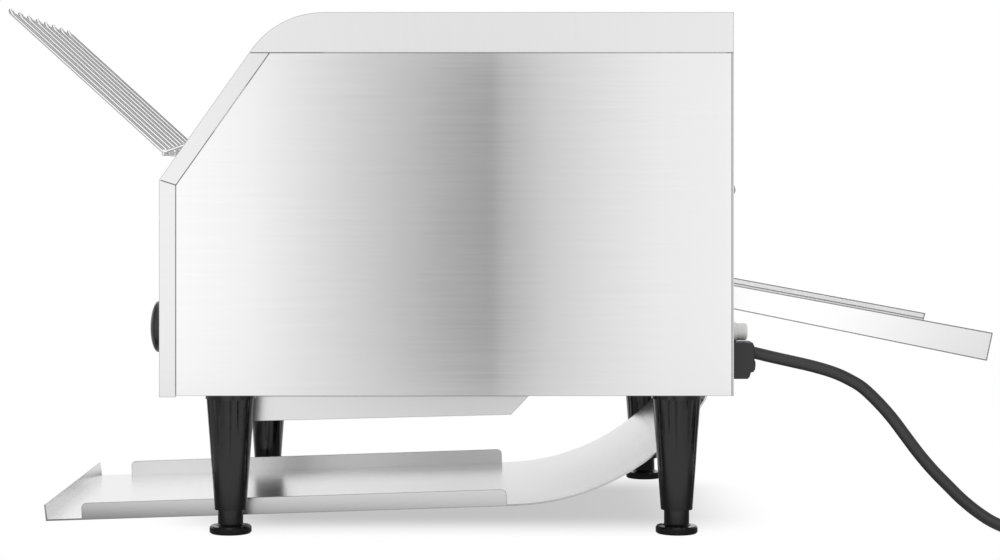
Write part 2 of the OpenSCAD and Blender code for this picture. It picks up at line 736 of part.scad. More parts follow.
module reset_breaker() color("dimgray") difference() {
    union() {
        translate([inlet_x - 8, rear_y - sheet_t - 22.1, breaker_z - 7.5]) cube([16, 22, 15]);
        rod_y([inlet_x, breaker_z], 9.4, rear_y - sheet_t - 1, rear_y + 1.2);
    }
    rod_y([inlet_x, breaker_z], 6 + 2 * fit, rear_y - sheet_t - 12, rear_y + 5);
}

// Ring screwed on the breaker's neck, which the button slides into
module reset_collar() color("white") translate([inlet_x, rear_y, breaker_z])
    rotate([-90, 0, 0]) rotate_extrude($fn = 72) {
        r = collar_ring_d / 2;
        polygon([[4.75, 0.05], [r, 0.05], [r, collar_ring_h - 0.8], [r - 0.8, collar_ring_h],
            [button_d / 2 + 0.1, collar_ring_h], [button_d / 2 + 0.1, 1.3], [4.75, 1.3]]);
    }

// Round button that is pressed to reset the breaker
module reset_button() color("white") {
    round_r = 2;
    r = button_d / 2;
    rod_y([inlet_x, breaker_z], 6, rear_y - 6, rear_y + 5);
    translate([inlet_x, rear_y, breaker_z]) rotate([-90, 0, 0]) rotate_extrude($fn = 72)
        polygon(concat([[0, 4.6], [r, 4.6]],
            [for (a = [0 : 15 : 90]) [r - round_r + round_r * cos(a), button_len - round_r + round_r * sin(a)]],
            [[0, button_len]]));
}

// Cord clamp: an upper block with a chamfered corner, a bulge under the cord and a nose below that
module cable_gland() color(black) difference() {
    union() {
        low = gland_z - gland_low;
        top = low + gland_h;
        back = rear_y + gland_len;
        side_view(inlet_x - gland_w / 2, inlet_x + gland_w / 2) polygon([[rear_y + 0.05, low],
            [back - 5.2, low], [back - 3.8, low + 1.2], [back - 3, low + 3.1], [back - 2.7, low + 4.7],
            [back - 0.8, low + 5.1], [back + 0.4, low + 6.9], [back + 0.8, low + 9.6],
            [back + 0.8, low + 12.4], [back, low + 14.2], [back, top - 2.6], [back - 1.2, top],
            [rear_y + 0.05, top]]);
        rod_y([inlet_x, gland_z], 13.6, rear_y - 8, rear_y + 1);
    }
    // Way for the cores, and the pocket that the cord's end sits in
    rod_y([inlet_x, gland_z], cord_d - 3, rear_y - 10, rear_y + gland_len - 0.5);
    rod_y([inlet_x, gland_z], cord_d + 0.6, rear_y + gland_len - 1, rear_y + gland_len + 1);
}

// ---- Cord, coil and plug ----

function cross_unit(a, b) = cross(a, b) / norm(cross(a, b));
function way(p, i) = let (a = p[max(i - 1, 0)], b = p[min(i + 1, len(p) - 1)]) (b - a) / norm(b - a);

// Tube of n sides swept along points, its first ring square to d0 and its last to d1
module swept_tube(p, d, n, d0, d1) {
    up = [0, 0, 1];
    m = len(p);
    function ring(i) =
        let (t = i == 0 ? d0 : i == m - 1 ? d1 : way(p, i),
            side = cross_unit(up, t),
            top = cross_unit(t, side))
        [for (j = [0 : n - 1]) p[i] + d / 2 * (cos(360 * j / n) * side + sin(360 * j / n) * top)];
    points = [for (i = [0 : m - 1]) each ring(i)];
    walls = [for (i = [0 : m - 2], j = [0 : n - 1]) let (a = i * n + j, b = i * n + (j + 1) % n)
        each [[a, b + n, b], [a, a + n, b + n]]];
    caps = [for (j = [1 : n - 2]) each [[0, j, j + 1], [(m - 1) * n, (m - 1) * n + j + 1, (m - 1) * n + j]]];
    polyhedron(points, concat(walls, caps));
}

// The cord's points, moved aside with the inlet
function aside(points) = [for (p = points) p + [widening, 0, 0]];

cord_start = [inlet_x, rear_y + gland_len - 0.9 - frame_y, gland_z + ride_h];
coil_in = [coil_c[0] + coil_r, coil_c[1], coil_z];
coil_step = 15;
function coil_radius(a) = coil_r - coil_pitch * (coil_mid - abs(a - coil_mid)) / 360;
function coil_height(a) = coil_z + coil_layer * min(1, max(0, (a - coil_mid + 90) / 180));
function coil_at(a) = [coil_c[0] + coil_radius(a) * cos(a), coil_c[1] + coil_radius(a) * sin(a), coil_height(a)];
coil_path = [for (a = [0 : coil_step : coil_turn]) coil_at(a)];
coil_end = coil_path[len(coil_path) - 1];
loop_points = 360 / coil_step;
coil_gap = min([for (i = [0 : len(coil_path) - 1], j = [i + 8 : 1 : len(coil_path) - 1])
    norm(coil_path[i] - coil_path[j])]) - cord_d;
echo(least_gap_in_coil = coil_gap);

module power_cord() color(black) swept_tube(
    concat([cord_start], aside(cord_points), [coil_in - [0, 0.02, 0]]),
    cord_d, 8, [0, 1, 0], [0, 1, 0]);

module power_cord_coil() color(black) swept_tube(coil_path, cord_d, 6, [0, 1, 0], [-1, 0, 0]);

module power_cord_tail() color(black) swept_tube(concat([coil_end - [0.02, 0, 0]], aside(tail_points),
    [[plug_x + 0.02, plug_y, plug_z]]), cord_d, 8, [-1, 0, 0], [-1, 0, 0]);

module power_plug() color(black) translate([plug_x, plug_y, plug_z]) rotate([0, -90, 0]) {
    difference() {
        rotate_extrude($fn = 72) polygon([[0, 0], [6.5, 0], [7.5, 10], [15, 17], [plug_r, 20],
            [plug_r, 36], [plug_r - 1, 37], [0, 37]]);
        for (s = [-1, 1]) translate([s * plug_r, 0, 30]) cube([5, 5, 20], center = true);
    }
    color("silver") for (s = [-9.5, 9.5]) translate([0, s, 36]) {
        cylinder(d = 4.8, h = 18);
        translate([0, 0, 18]) sphere(d = 4.8);
    }
}

// ---- Legs and feet ----

// Moulded leg with long and short flutes that run out in points, bored for the foot's stem
module leg(p) color(black) translate([p[0], p[1], 0]) difference() {
    union() {
        translate([0, 0, -collar_h]) cylinder(d = collar_d, h = collar_h);
        translate([0, 0, -leg_h]) cylinder(d1 = cone_bottom_d, d2 = cone_top_d, h = cone_h);
    }
    lean = atan((cone_top_d - cone_bottom_d) / 2 / cone_h);
    flute_r = 4.4;
    stand_off = 3.1;     // of a flute's axis from the cone
    for (i = [0 : flutes - 1]) rotate(i * 360 / flutes)
        translate([cone_top_d / 2 + stand_off, 0, -collar_h - 0.4]) rotate([0, 180 + lean, 0])
            cylinder(r1 = flute_r, r2 = stand_off, h = cone_h * (i % 2 == 0 ? 0.86 : 0.42), $fn = 24);
    translate([0, 0, -leg_h - 1])
        cylinder(d = stem_d + 2 * fit, h = stem_len - stem_show + bore_extra + 1);
    translate([0, 0, -20]) cylinder(d = stud_d + 0.1, h = 30);
}

// Levelling foot: a stem in the leg and a disc on the worktop
module foot(p) color(black) translate([p[0], p[1], -ride_h]) rotate_extrude($fn = 96)
    polygon([[0, 0], [disc_d / 2 - 1, 0], [disc_d / 2, 1], [disc_d / 2, disc_h - 1.4],
        [disc_d / 2 - 1, disc_h - 0.4], [stem_d / 2 + 1.6, disc_h], [stem_d / 2, disc_h + 1.2],
        [stem_d / 2, disc_h + stem_len - 1], [stem_d / 2 - 1, disc_h + stem_len], [0, disc_h + stem_len]]);

module leg_bolts() color("silver") for (p = leg_spots) translate([p[0], p[1], 0]) {
    translate([0, 0, -16]) cylinder(d = stud_d, h = 16 + sheet_t + 0.05);
    translate([0, 0, sheet_t + 0.05]) cylinder(d = 11, h = 4.5, $fn = 6);
}

// ---- Rack, trays and chutes ----

rack_bend = [rack_y, rack_z];
rack_dir = [-cos(rack_angle), sin(rack_angle)];
hook_dir = [cos(hook_angle), sin(hook_angle)];
hook_len = 42;
rack_bend_r = 4;
rod_drop = 0.85 * rack_wire;    // rods sink a little into the wires they are welded to
loop_pitch = rack_pitch + 2 * widening / (rack_loops - 1);
loop_xs = [for (i = [0 : rack_loops - 1]) (i - (rack_loops - 1) / 2) * loop_pitch];

bend_turn = rack_angle + hook_angle;
bend_c = rack_bend + rack_bend_r / cos(bend_turn / 2) * (rack_dir + hook_dir) / norm(rack_dir + hook_dir);
loop_top = rack_bend + (rack_len - loop_w / 2) * rack_dir;

// One wire of a loop at X = x, from its hooked end round the lower bend and up the slope
function loop_side(x) = concat(
    [each [rack_bend + hook_len * hook_dir]],
    [for (i = [0 : 3]) bend_c + rack_bend_r * [cos(hook_angle - 90 - i * bend_turn / 3),
        sin(hook_angle - 90 - i * bend_turn / 3)]]);
function loop_end(u) = loop_top + min(u, tip_rise) * rack_dir
    + max(0, u - tip_rise) * (cos(tip_turn) * rack_dir + sin(tip_turn) * [rack_dir[1], -rack_dir[0]]);
function loop_path(x) = concat(
    [for (p = loop_side(x)) [x - loop_w / 2, p[0], p[1]]],
    [for (a = [0, 15, 30, 50, 70, 90, 110, 130, 150, 165, 180]) let (p = loop_end(loop_w / 2 * sin(a)))
        [x - loop_w / 2 * cos(a), p[0], p[1]]],
    [for (p = backwards(loop_side(x))) [x + loop_w / 2, p[0], p[1]]]);

module feed_rack() color("silver") {
    in = [0, -hook_dir[0], -hook_dir[1]];
    for (x = loop_xs) swept_tube(loop_path(x), rack_wire, 8, in, -in);
    // Cross rods under the loops: one in the bend, one under their hooked ends
    inward = (rack_dir + hook_dir) / norm(rack_dir + hook_dir);
    for (q = [bend_c - (rack_bend_r + rod_drop) * inward,
            rack_bend + 8 * hook_dir + rod_drop * [hook_dir[1], -hook_dir[0]]])
        translate([loop_xs[0] - loop_w / 2 - 1, q[0], q[1]])
            rotate([0, 90, 0])
                cylinder(d = rack_wire, h = loop_xs[rack_loops - 1] - loop_xs[0] + loop_w + 2, $fn = 10);
}

// How far along the hooks a point raised off them by a lift stands clear behind the front sheet
function clear_along_hooks(lift, n) =
    (slide_fit + (knee(sheet_t) - rack_bend - lift * n) * slope_in) / (hook_dir * slope_in);

// Sill and keeper strips that hold the rack's hooked ends just inside the mouth
module rack_keeper() color(bright) {
    half = wall_x - slide_fit;
    under = rack_wire / 2 + slide_fit;
    n = [-hook_dir[1], hook_dir[0]];
    a = rack_bend + clear_along_hooks(-under - sheet_t, n) * hook_dir;
    c = rack_bend + clear_along_hooks(under + sheet_t, n) * hook_dir;
    b = rack_bend + (hook_len - 1) * hook_dir;
    side_view(-half, half) {
        strip(b - under * n, a - under * n, sheet_t);
        strip(c + under * n, b + under * n, sheet_t);
    }
    // End cheeks on the inner side plates
    mirrored_x() side_view(loop_xs[rack_loops - 1] + loop_w / 2 + rack_wire / 2 + slide_fit, half)
        polygon([a - (under + sheet_t) * n, b - (under + sheet_t) * n, b + (under + sheet_t) * n,
            c + (under + sheet_t) * n]);
}

tray_front_y = front_y - tray_out;
tray_dir = [cos(tray_slope), sin(tray_slope)];
tray_p0 = [tray_front_y, -tray_drop];
tray_p1 = tray_p0 + (tray_bend_y - tray_front_y) / tray_dir[0] * tray_dir;
tray_c = tray_p1 + (tray_r + sheet_t) * [-tray_dir[1], tray_dir[0]];
tray_a1 = 55;
tray_end_r = 30;
tray_p2 = tray_c + (tray_r + sheet_t) * [sin(tray_a1), -cos(tray_a1)];
tray_c2 = tray_p2 + (tray_end_r + sheet_t) * [-sin(tray_a1), cos(tray_a1)];
tray_back_y = tray_c2[0] + tray_end_r;
tray_top_z = 46;

// The bent sheet's lower side, from the top of its front flange to the top of the chute behind it
tray_line = concat(
    [tray_p0 + [-1.5, tray_flange], tray_p0],
    [for (i = [0 : 16]) let (a = tray_slope + (tray_a1 - tray_slope) * i / 16)
        tray_c + (tray_r + sheet_t) * [sin(a), -cos(a)]],
    [for (i = [1 : 5]) let (a = tray_a1 + (90 - tray_a1) * i / 5)
        tray_c2 + (tray_end_r + sheet_t) * [sin(a), -cos(a)]],
    [[tray_back_y + sheet_t, tray_top_z]]);

// Front tray and the curved chute behind it, bent from one sheet
module front_tray() color(steel) {
    half = tray_half;
    side_view(-half, half) polygon(concat(tray_line, backwards(path_side(tray_line, sheet_t))));
    // Side flanges with rounded ends
    round_r = 4;
    n = [-tray_dir[1], tray_dir[0]];
    a = tray_p0 + 27 * tray_dir + 0.4 * n;
    b = tray_p1 - 7 * tray_dir + 0.4 * n;
    rise = tray_flange - round_r;
    mirrored_x() side_view(half - sheet_t, half) polygon(concat([a, b],
        [for (q = [0 : 15 : 90]) b + round_r * (cos(q) - 1) * tray_dir + (rise + round_r * sin(q)) * n],
        [for (q = [90 : 15 : 180]) a + round_r * (cos(q) + 1) * tray_dir + (rise + round_r * sin(q)) * n]));
    // Ears that fix the chute's top to the inner side plates
    mirrored_x() {
        translate([half - 6, tray_back_y + 0.1, 14]) cube([wall_x - half + 6 - 0.1, sheet_t - 0.2, 26]);
        translate([wall_x - sheet_t - 0.1, tray_back_y - 12, 14]) cube([sheet_t, 12 + sheet_t - 0.1, 26]);
    }
}

crumb_dir = [cos(crumb_slope), sin(crumb_slope)];
crumb_p0 = [-crumb_y0, -crumb_front];
crumb_p1 = crumb_p0 + (crumb_y0 + crumb_y1) / crumb_dir[0] * crumb_dir;
crumb_p2 = crumb_p1 + [16, -crumb_p1[1] - 3];
crumb_lip = 5;
crumb_lip_z = -3 - sheet_t;

// Crumb tray, which slides forwards out of its rails
module crumb_tray() color(steel) {
    side_view(-crumb_half, crumb_half) {
        strip(crumb_p0, crumb_p1, sheet_t);
        strip(crumb_p1, crumb_p2, sheet_t);
        strip([crumb_p0[0], crumb_lip_z + sheet_t], crumb_p0, sheet_t);
    }
    mirrored_x() {
        side_view(crumb_half - sheet_t, crumb_half) polygon([crumb_p0, crumb_p1, crumb_p2,
            [crumb_p2[0] - 2, crumb_lip_z + sheet_t], [-crumb_y0, crumb_lip_z + sheet_t]]);
        translate([crumb_half - sheet_t, -crumb_y0, crumb_lip_z])
            cube([crumb_lip + sheet_t, crumb_y0 + crumb_p2[0] - 4, sheet_t]);
    }
}

// C-shaped rails under the base plate
module crumb_tray_rails() color(bright) mirrored_x() {
    x0 = crumb_half + slide_fit;
    x1 = crumb_half + crumb_lip + slide_fit;
    y0 = -crumb_y0 + 32;
    shelf_z = crumb_lip_z - slide_fit - sheet_t;
    len = crumb_y0 + crumb_p2[0] - 36;
    translate([x1, y0, shelf_z]) cube([sheet_t, len, -shelf_z]);
    translate([x0 + 0.8, y0, shelf_z]) cube([x1 - x0 - 0.8 + sheet_t, len, sheet_t]);
}

// Rear chute: a floor, two walls with hemmed edges and a stop lip at its inner end
module rear_chute() color(steel) {
    half = tray_half;
    y0 = chute_inner_y;
    end = [chute_rear_bottom, chute_floor(chute_rear_bottom)];
    side_view(-half, half) {
        strip([y0, chute_floor(y0)], end, sheet_t);
        strip([y0, chute_floor(y0) + 7], [y0, chute_floor(y0)], sheet_t);
    }
    mirrored_x() {
        side_view(half - sheet_t, half) polygon([[y0, chute_floor(y0)], end,
            [chute_rear_top, chute_top(chute_rear_top)], [y0, chute_top(y0)]]);
        // Hem along the top edge
        side_view(half - 2.4 * sheet_t, half) polygon([[y0, chute_top(y0) - 5],
            [chute_rear_top - 1.3, chute_top(chute_rear_top) - 5],
            [chute_rear_top, chute_top(chute_rear_top)], [y0, chute_top(y0)]]);
    }
}

// Angled runners on the inner side plates that carry the rear chute
module chute_runners() color(bright) mirrored_x() {
    y0 = chute_inner_y + 6;
    y1 = rear_y - sheet_t - 2;
    drop = sheet_t + slide_fit;
    side_view(tray_half - 7, wall_x - 0.1)
        strip([y0, chute_floor(y0) - drop], [y1, chute_floor(y1) - drop], sheet_t);
    side_view(wall_x - 0.1 - sheet_t, wall_x - 0.1) polygon([
        [y0, chute_floor(y0) - drop - 10], [y1, chute_floor(y1) - drop - 10],
        [y1, chute_floor(y1) - drop + sheet_t], [y0, chute_floor(y0) - drop + sheet_t]]);
}

module rear_screws() color("silver") mirrored_x() {
    rod_y([side_x - 8, screw_z], 4, rear_y - 9, rear_y + 0.5);
    translate([side_x - 8, rear_y + 0.05, screw_z]) rotate([-90, 0, 0]) intersection() {
        cylinder(d = 7.4, h = 2.2);
        translate([0, 0, -3]) sphere(r = 5.2);
    }
}

// ---- Nodes ----

on_body() mirror([1, 0, 0]) side_panel();  // left_side_panel
on_body() side_panel();  // right_side_panel
on_body() front_fascia();
on_body() top_cover();
on_body() rear_panel();
on_body() base_plate();
on_body() mirror([1, 0, 0]) inner_plate();  // left_inner_plate
on_body() inner_plate();  // right_inner_plate
on_body() upper_reflector();
on_body() lower_reflector();
on_body() heater_bank(upper_heater_z);  // upper_heaters
on_body() heater_bank(lower_heater_z);  // lower_heaters
on_body() heater_end_caps();
on_body() {
    shaft_bushes();
    motor_bush();
}
on_body() conveyor_belt();
on_body() drive_shaft();
on_body() belt_sprockets(shaft_y1);  // drive_belt_sprockets
on_body() idler_shaft();
on_body() belt_sprockets(shaft_y0);  // idler_belt_sprockets
on_body()  // drive_chain_sprocket
    chain_sprocket([shaft_y1, shaft_z], 18, shaft_d + 0.04);
on_body() drive_chain();
on_body() gear_motor();
on_body() motor_bracket();
on_body() motor_sprocket();
on_body() switch_body(selector_x, 34, 34);  // selector_switch
on_body() spindle(selector_x);  // selector_spindle
on_body() knob(selector_x);  // selector_knob
on_body() switch_body(speed_x, 28, 28);  // speed_control
on_body() spindle(speed_x);  // speed_spindle
on_body() knob(speed_x);  // speed_knob
on_body() lamp(power_lamp_x, "limegreen");  // power_lamp
on_body() lamp(heating_lamp_x, "orangered");  // heating_lamp
on_body() terminal_block();
on_body() reset_breaker();
on_body() reset_collar();
on_body() reset_button();
on_body() cable_gland();
power_cord();
power_cord_coil();
power_cord_tail();
power_plug();
on_body() leg(leg_spots[0]);  // front_left_leg
on_body() leg(leg_spots[1]);  // front_right_leg
on_body() leg(leg_spots[2]);  // rear_left_leg
on_body() leg(leg_spots[3]);  // rear_right_leg
on_body() foot(leg_spots[0]);  // front_left_foot
on_body() foot(leg_spots[1]);  // front_right_foot
on_body() foot(leg_spots[2]);  // rear_left_foot
on_body() foot(leg_spots[3]);  // rear_right_foot
on_body() feed_rack();
on_body() rack_keeper();
on_body() front_tray();
on_body() crumb_tray();
on_body() crumb_tray_rails();
on_body() rear_chute();
on_body() chute_runners();
on_body() rear_screws();
on_body() leg_bolts();
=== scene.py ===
"""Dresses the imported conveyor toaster: a finish for each of its pieces, and round wire and a smooth cord
in place of the plain solids that stand for them. Lengths are metres in the frame's own axes: X is the
width, -Y the feeding side and Z up from the worktop."""

import bpy
import numpy as np
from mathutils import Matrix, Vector


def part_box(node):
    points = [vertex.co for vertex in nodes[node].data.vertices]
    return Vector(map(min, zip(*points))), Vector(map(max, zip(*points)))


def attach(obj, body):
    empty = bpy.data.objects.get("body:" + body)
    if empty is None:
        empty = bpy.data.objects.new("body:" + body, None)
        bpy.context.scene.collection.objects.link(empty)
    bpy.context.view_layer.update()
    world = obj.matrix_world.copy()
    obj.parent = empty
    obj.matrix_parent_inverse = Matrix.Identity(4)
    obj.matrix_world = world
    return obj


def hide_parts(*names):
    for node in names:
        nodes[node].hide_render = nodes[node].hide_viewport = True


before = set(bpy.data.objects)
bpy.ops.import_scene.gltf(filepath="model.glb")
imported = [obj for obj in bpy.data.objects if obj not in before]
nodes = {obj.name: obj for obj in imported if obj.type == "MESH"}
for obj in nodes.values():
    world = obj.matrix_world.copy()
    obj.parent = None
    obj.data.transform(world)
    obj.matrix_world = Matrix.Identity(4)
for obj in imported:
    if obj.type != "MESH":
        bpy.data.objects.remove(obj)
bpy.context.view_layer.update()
MM = 0.001
BODY_HEIGHT = 104 * MM                 # from the worktop to the body's underside
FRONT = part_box("front_fascia")[0].y    # the body's front face
WHITE = (1, 1, 1, 1)


# ---- Camera, room and light ----

def look_along_minus_x():
    """The photograph's view, square on to the right side panel, with the frame shifted down and right."""
    camera = bpy.data.objects.new("camera", bpy.data.cameras.new("camera"))
    bpy.context.scene.collection.objects.link(camera)
    camera.location = (1.820, -0.024, 0.261)
    camera.rotation_euler = (np.pi / 2, 0, np.pi / 2)
    camera.data.lens = 81
    camera.data.sensor_width = 36
    camera.data.shift_x = 0.0315
    camera.data.shift_y = -0.100
    camera.data.clip_start = 0.01
    camera.data.clip_end = 50
    bpy.context.scene.camera = camera


def area_lamp(name, place, target, size, power):
    data = bpy.data.lights.new(name, "AREA")
    data.shape = "RECTANGLE"
    data.size, data.size_y = size
    data.energy = power
    lamp = bpy.data.objects.new(name, data)
    lamp.location = place
    lamp.visible_glossy = False     # the metal mirrors the room and the cards instead
    away = np.array(place, float) - np.array(target, float)
    lamp.rotation_mode = "QUATERNION"
    lamp.rotation_quaternion = Vector(away).to_track_quat("Z", "Y")
    bpy.context.scene.collection.objects.link(lamp)


# ---- Shader maths ----

class Value:
    """A socket of a material that can stand in a sum; each operator adds its Math node."""

    def __init__(self, finish, socket):
        self.finish = finish
        self.socket = socket

    def size(self):
        return self.maths("ABSOLUTE", self)

    def below(self, limit):
        """1 where the value is less than the limit, else 0."""
        return self.maths("LESS_THAN", self, limit)

    def maths(self, operation, *terms, clamp=False):
        settings = {"operation": operation, "use_clamp": clamp}
        return self.finish.add("Math", settings, dict(enumerate(terms)))

    def __add__(self, other):
        return self.maths("ADD", self, other)

    __radd__ = __add__

    def __sub__(self, other):
        return self.maths("SUBTRACT", self, other)

    def __rsub__(self, other):
        return self.maths("SUBTRACT", other, self)

    def __mul__(self, other):
        return self.maths("MULTIPLY", self, other)

    __rmul__ = __mul__

    def __truediv__(self, other):
        return self.maths("DIVIDE", self, other)

    def __pow__(self, other):
        return self.maths("POWER", self, other)

    def clamped(self):
        return self.maths("ADD", self, 0.0, clamp=True)


class Finish:
    """A material under construction; every node gets in through add()."""

    def __init__(self, name):
        self.material = bpy.data.materials.new(name)
        self.material.use_nodes = True
        self.tree = self.material.node_tree
        self.tree.nodes.clear()

    @classmethod
    def on_tree(cls, tree):
        """The same for a node tree that is no material's, such as the world's."""
        finish = cls.__new__(cls)
        finish.tree = tree
        tree.nodes.clear()
        return finish

    def add(self, kind, settings=None, sockets=None, out=0):
        """Adds a node of a kind, sets its settings first, then its sockets' values or links."""
        node = self.tree.nodes.new("ShaderNode" + kind)
        for name, value in (settings or {}).items():
            if name == "stops":
                self.set_stops(node.color_ramp, value)
            else:
                setattr(node, name, value)
        for name, value in (sockets or {}).items():
            if isinstance(value, Value):
                self.tree.links.new(value.socket, node.inputs[name])
            else:
                node.inputs[name].default_value = value
        return Value(self, node.outputs[out]) if node.outputs else None

    @staticmethod
    def set_stops(ramp, stops):
        """Places and colours the stops of a colour ramp."""
        while len(ramp.elements) < len(stops):
            ramp.elements.new(0.5)
        for element, (place, colour) in zip(ramp.elements, stops):
            element.position = place
            element.color = (*colour, 1)

    def place(self):
        """Object coordinates, in metres."""
        return self.add("TexCoord", out="Object")

    def vector(self, operation, *terms, out=0):
        return self.add("VectorMath", {"operation": operation}, dict(enumerate(terms)), out=out)

    def measured(self, weights, start=(0, 0, 0)):
        """How far a point lies from the start along a direction, in metres."""
        return self.vector("DOT_PRODUCT", self.vector("SUBTRACT", self.place(), start), weights, out="Value")

    def noise_at(self, where, detail, roughness):
        return self.add("TexNoise", None, {"Vector": where, "Scale": 1.0, "Detail": detail,
                                           "Roughness": roughness}, out="Fac")

    def noise(self, scale, detail=3.0, roughness=0.5):
        """Noise from 0 to 1, with its scale along each axis in cycles a metre."""
        where = self.add("Mapping", None, {"Vector": self.place(), "Scale": scale})
        return self.noise_at(where, detail, roughness)

    def rise(self, value, start, end, low=0.0, high=1.0):
        """Goes smoothly from low to high while the value goes from start to end."""
        return self.add("MapRange", {"interpolation_type": "SMOOTHSTEP"},
                        {"Value": value, "From Min": start, "From Max": end, "To Min": low, "To Max": high})

    def mix(self, factor, dark, light):
        """A colour between two, by a factor from 0 to 1."""
        return self.add("Mix", {"data_type": "RGBA"}, {"Factor": factor, 6: dark, 7: light}, out=2)

    def bump(self, height, distance):
        return self.add("Bump", None, {"Height": height, "Distance": distance, "Strength": 1.0})

    def near_edges(self, depth):
        """The mask for the painted shade along a sheet's edges: towards 1 on a sheet's cut edge and close to
        its sharp edges, 0 on its faces: the share of short ways into the sheet that come out again within
        the depth, which is less than its thickness."""
        solid = self.add("AmbientOcclusion", {"samples": EDGE_WAYS, "inside": True, "only_local": True},
                         {"Distance": depth}, out="AO")
        return ((1 - solid) * EDGE_GAIN).clamped()

    def glow(self, colour, strength=1.0):
        return self.add("Emission", None, {"Color": colour, "Strength": strength})

    def either(self, factor, first, second):
        """The first shader where the factor is 0, the second where it is 1."""
        return self.add("MixShader", None, {0: factor, 1: first, 2: second})

    def by_ray(self, seen, mirrored, other):
        """One shader for the camera, one for shiny surfaces that mirror it, and one for all other light."""
        unseen = self.either(self.add("LightPath", out="Is Glossy Ray"), other, mirrored)
        return self.either(self.add("LightPath", out="Is Camera Ray"), unseen, seen)

    def shade(self, **sockets):
        """Ends the material in one Principled shader with these sockets."""
        named = {name.replace("_", " "): value for name, value in sockets.items()}
        surface = self.add("BsdfPrincipled", None, named)
        self.add("OutputMaterial", None, {"Surface": surface})
        return self.material


def grey(level, warmth=0.0):
    """A colour of one level, a little redder and less blue by its warmth."""
    return (level * (1 + warmth), level, level * (1 - warmth), 1)


# ---- Finishes ----

KNOB_Z = BODY_HEIGHT + 45 * MM
SELECTOR_X = 38 * MM
SPEED_X = 100 * MM
KNOB_FACE = FRONT - 11.5 * MM   # the knobs' faces stand beyond this
KNOB_LINE_HALF = 0.75 * MM      # half the width of a knob's white line
KNOB_LINE_START = 6 * MM        # how far above the knob's middle it starts
PLUG_FACE_X = 12.7 * MM         # the face the plug's pins stand on
COIL_TURN_PITCH = 2.4 * MM      # from turn to turn of a heating wire
GRAIN_LENGTH = 9                # streaks a metre along the grain
GRAIN_FINENESS = 1500           # and across it
BAND_FINENESS = 250             # and the same for the broader bands
EDGE_WAYS = 8                   # short ways into the sheet that are tried at a point
EDGE_GAIN = 2.2
EDGE_DEPTH = 0.6 * MM           # how far into a sheet the painted shade on its cut edges reaches
CHUTE_EDGE_SHADE_DEPTH = 1.1 * MM            # and on the rear chute, whose edges get painted shade as dark lines
DIALS = ((SELECTOR_X, 4, 45, 25.5), (SPEED_X, 11, 27, 25.0))
TICK_START = 22.5               # millimetres from the knob's middle, as the ticks' far ends in DIALS are
TICK_HALF = 0.45 * MM
ARC_RADIUS = 21.6               # in millimetres too
ARC_HALF = 0.22 * MM


def brushed_steel(name, along, across, level=0.78, roughness=0.27, anisotropy=0.0, grain=1.0,
                  edge_painted_shade=0.8, edge_depth=EDGE_DEPTH, printed=None):
    """Stainless sheet brushed one way: fine streaks, broader bands and faint smears, with painted shade that
    darkens its cut and sharp edges. along and across give the sheet's two directions as axis weights, so
    that the grain follows the sheet round its bends. printed is a function that makes a mask of what is
    printed on the sheet in dark ink."""
    steel = Finish(name)

    def streaks(fineness, detail):
        lines = steel.add("CombineXYZ", None, {"X": steel.measured(along) * GRAIN_LENGTH,
                                               "Y": steel.measured(across) * fineness})
        return steel.noise_at(lines, detail, 0.6)

    streak = (streaks(GRAIN_FINENESS, 2.0) - 0.5) * 0.5 + (streaks(BAND_FINENESS, 3.0) - 0.5) * 0.35
    smears = steel.noise((14, 14, 14), 4.0, 0.55)
    tone = (0.5 + streak * (0.5 * grain) + (smears - 0.5) * 0.12).clamped()
    colour = steel.mix(tone, grey(level * 0.88), grey(min(1, level * 1.12)))
    # painted shade: the colour darkens along the sheet's cut and sharp edges, in place of the dark lines
    # that reflections and shadow draw there
    colour = steel.mix(steel.near_edges(edge_depth) * edge_painted_shade, colour, grey(level * 0.25))
    rough = roughness + streak * 0.10 * grain + (smears - 0.5) * 0.06
    metal = 1.0
    if printed:
        ink = printed(steel)
        colour = steel.mix(ink, colour, grey(0.03))
        rough = rough + ink * 0.25
        metal = 1 - ink
    return steel.shade(Base_Color=colour, Metallic=metal, Roughness=rough, Anisotropic=anisotropy,
                       Anisotropic_Rotation=0.25, Normal=steel.bump(streak, 0.00002 * grain))


def dial_marks(paint):
    """Scales printed round the knobs: short ticks on a circle round each, evenly spaced clockwise from the
    top, over a right angle and a half for the selector and over three right angles for the speed, and a
    thin arc that joins the speed's ticks. DIALS gives each dial's middle, ticks, step and outer radius."""
    front = (paint.measured((0, -1, 0), (0, FRONT + 0.5 * MM, 0)) * -1.0).below(0.0)
    marks = 0.0
    for x, count, step, outer in DIALS:
        right = paint.measured((1, 0, 0), (x, 0, 0))
        up = paint.measured((0, 0, 1), (0, 0, KNOB_Z))
        away = (right * right + up * up) ** 0.5
        turn = right.maths("ARCTAN2", right, up) / np.radians(step)
        turn = turn + turn.below(-0.5) * (360 / step)
        nearest = turn.maths("ROUND", turn)
        off = ((turn - nearest).size() * away).below(TICK_HALF / np.radians(step))
        ring = (away - (TICK_START + outer) / 2 * MM).size().below((outer - TICK_START) / 2 * MM)
        counted = turn.below(count - 0.5)
        marks = off * ring * counted + marks
        if x == SPEED_X:
            arc = (away - ARC_RADIUS * MM).size().below(ARC_HALF)
            marks = marks + arc * turn.below(count - 0.95) * (-1.0 * turn).below(0.05)
    return (marks * front).clamped()


def plain_metal(name, level, roughness, warmth=0.0, mottle=0.25):
    """Mill-finished or turned metal with soft mottling."""
    metal = Finish(name)
    cloud = metal.noise((60, 60, 60), 4.0, 0.6)
    speck = metal.noise((900, 900, 900), 2.0, 0.6)
    tone = (cloud * 0.7 + speck * 0.3).clamped()
    colour = metal.mix(tone, grey(level * (1 - mottle), warmth), grey(min(1, level * (1 + mottle)), warmth))
    return metal.shade(Base_Color=colour, Metallic=1.0, Roughness=roughness + (cloud - 0.5) * 0.12,
                       Normal=metal.bump(speck, 0.00002))


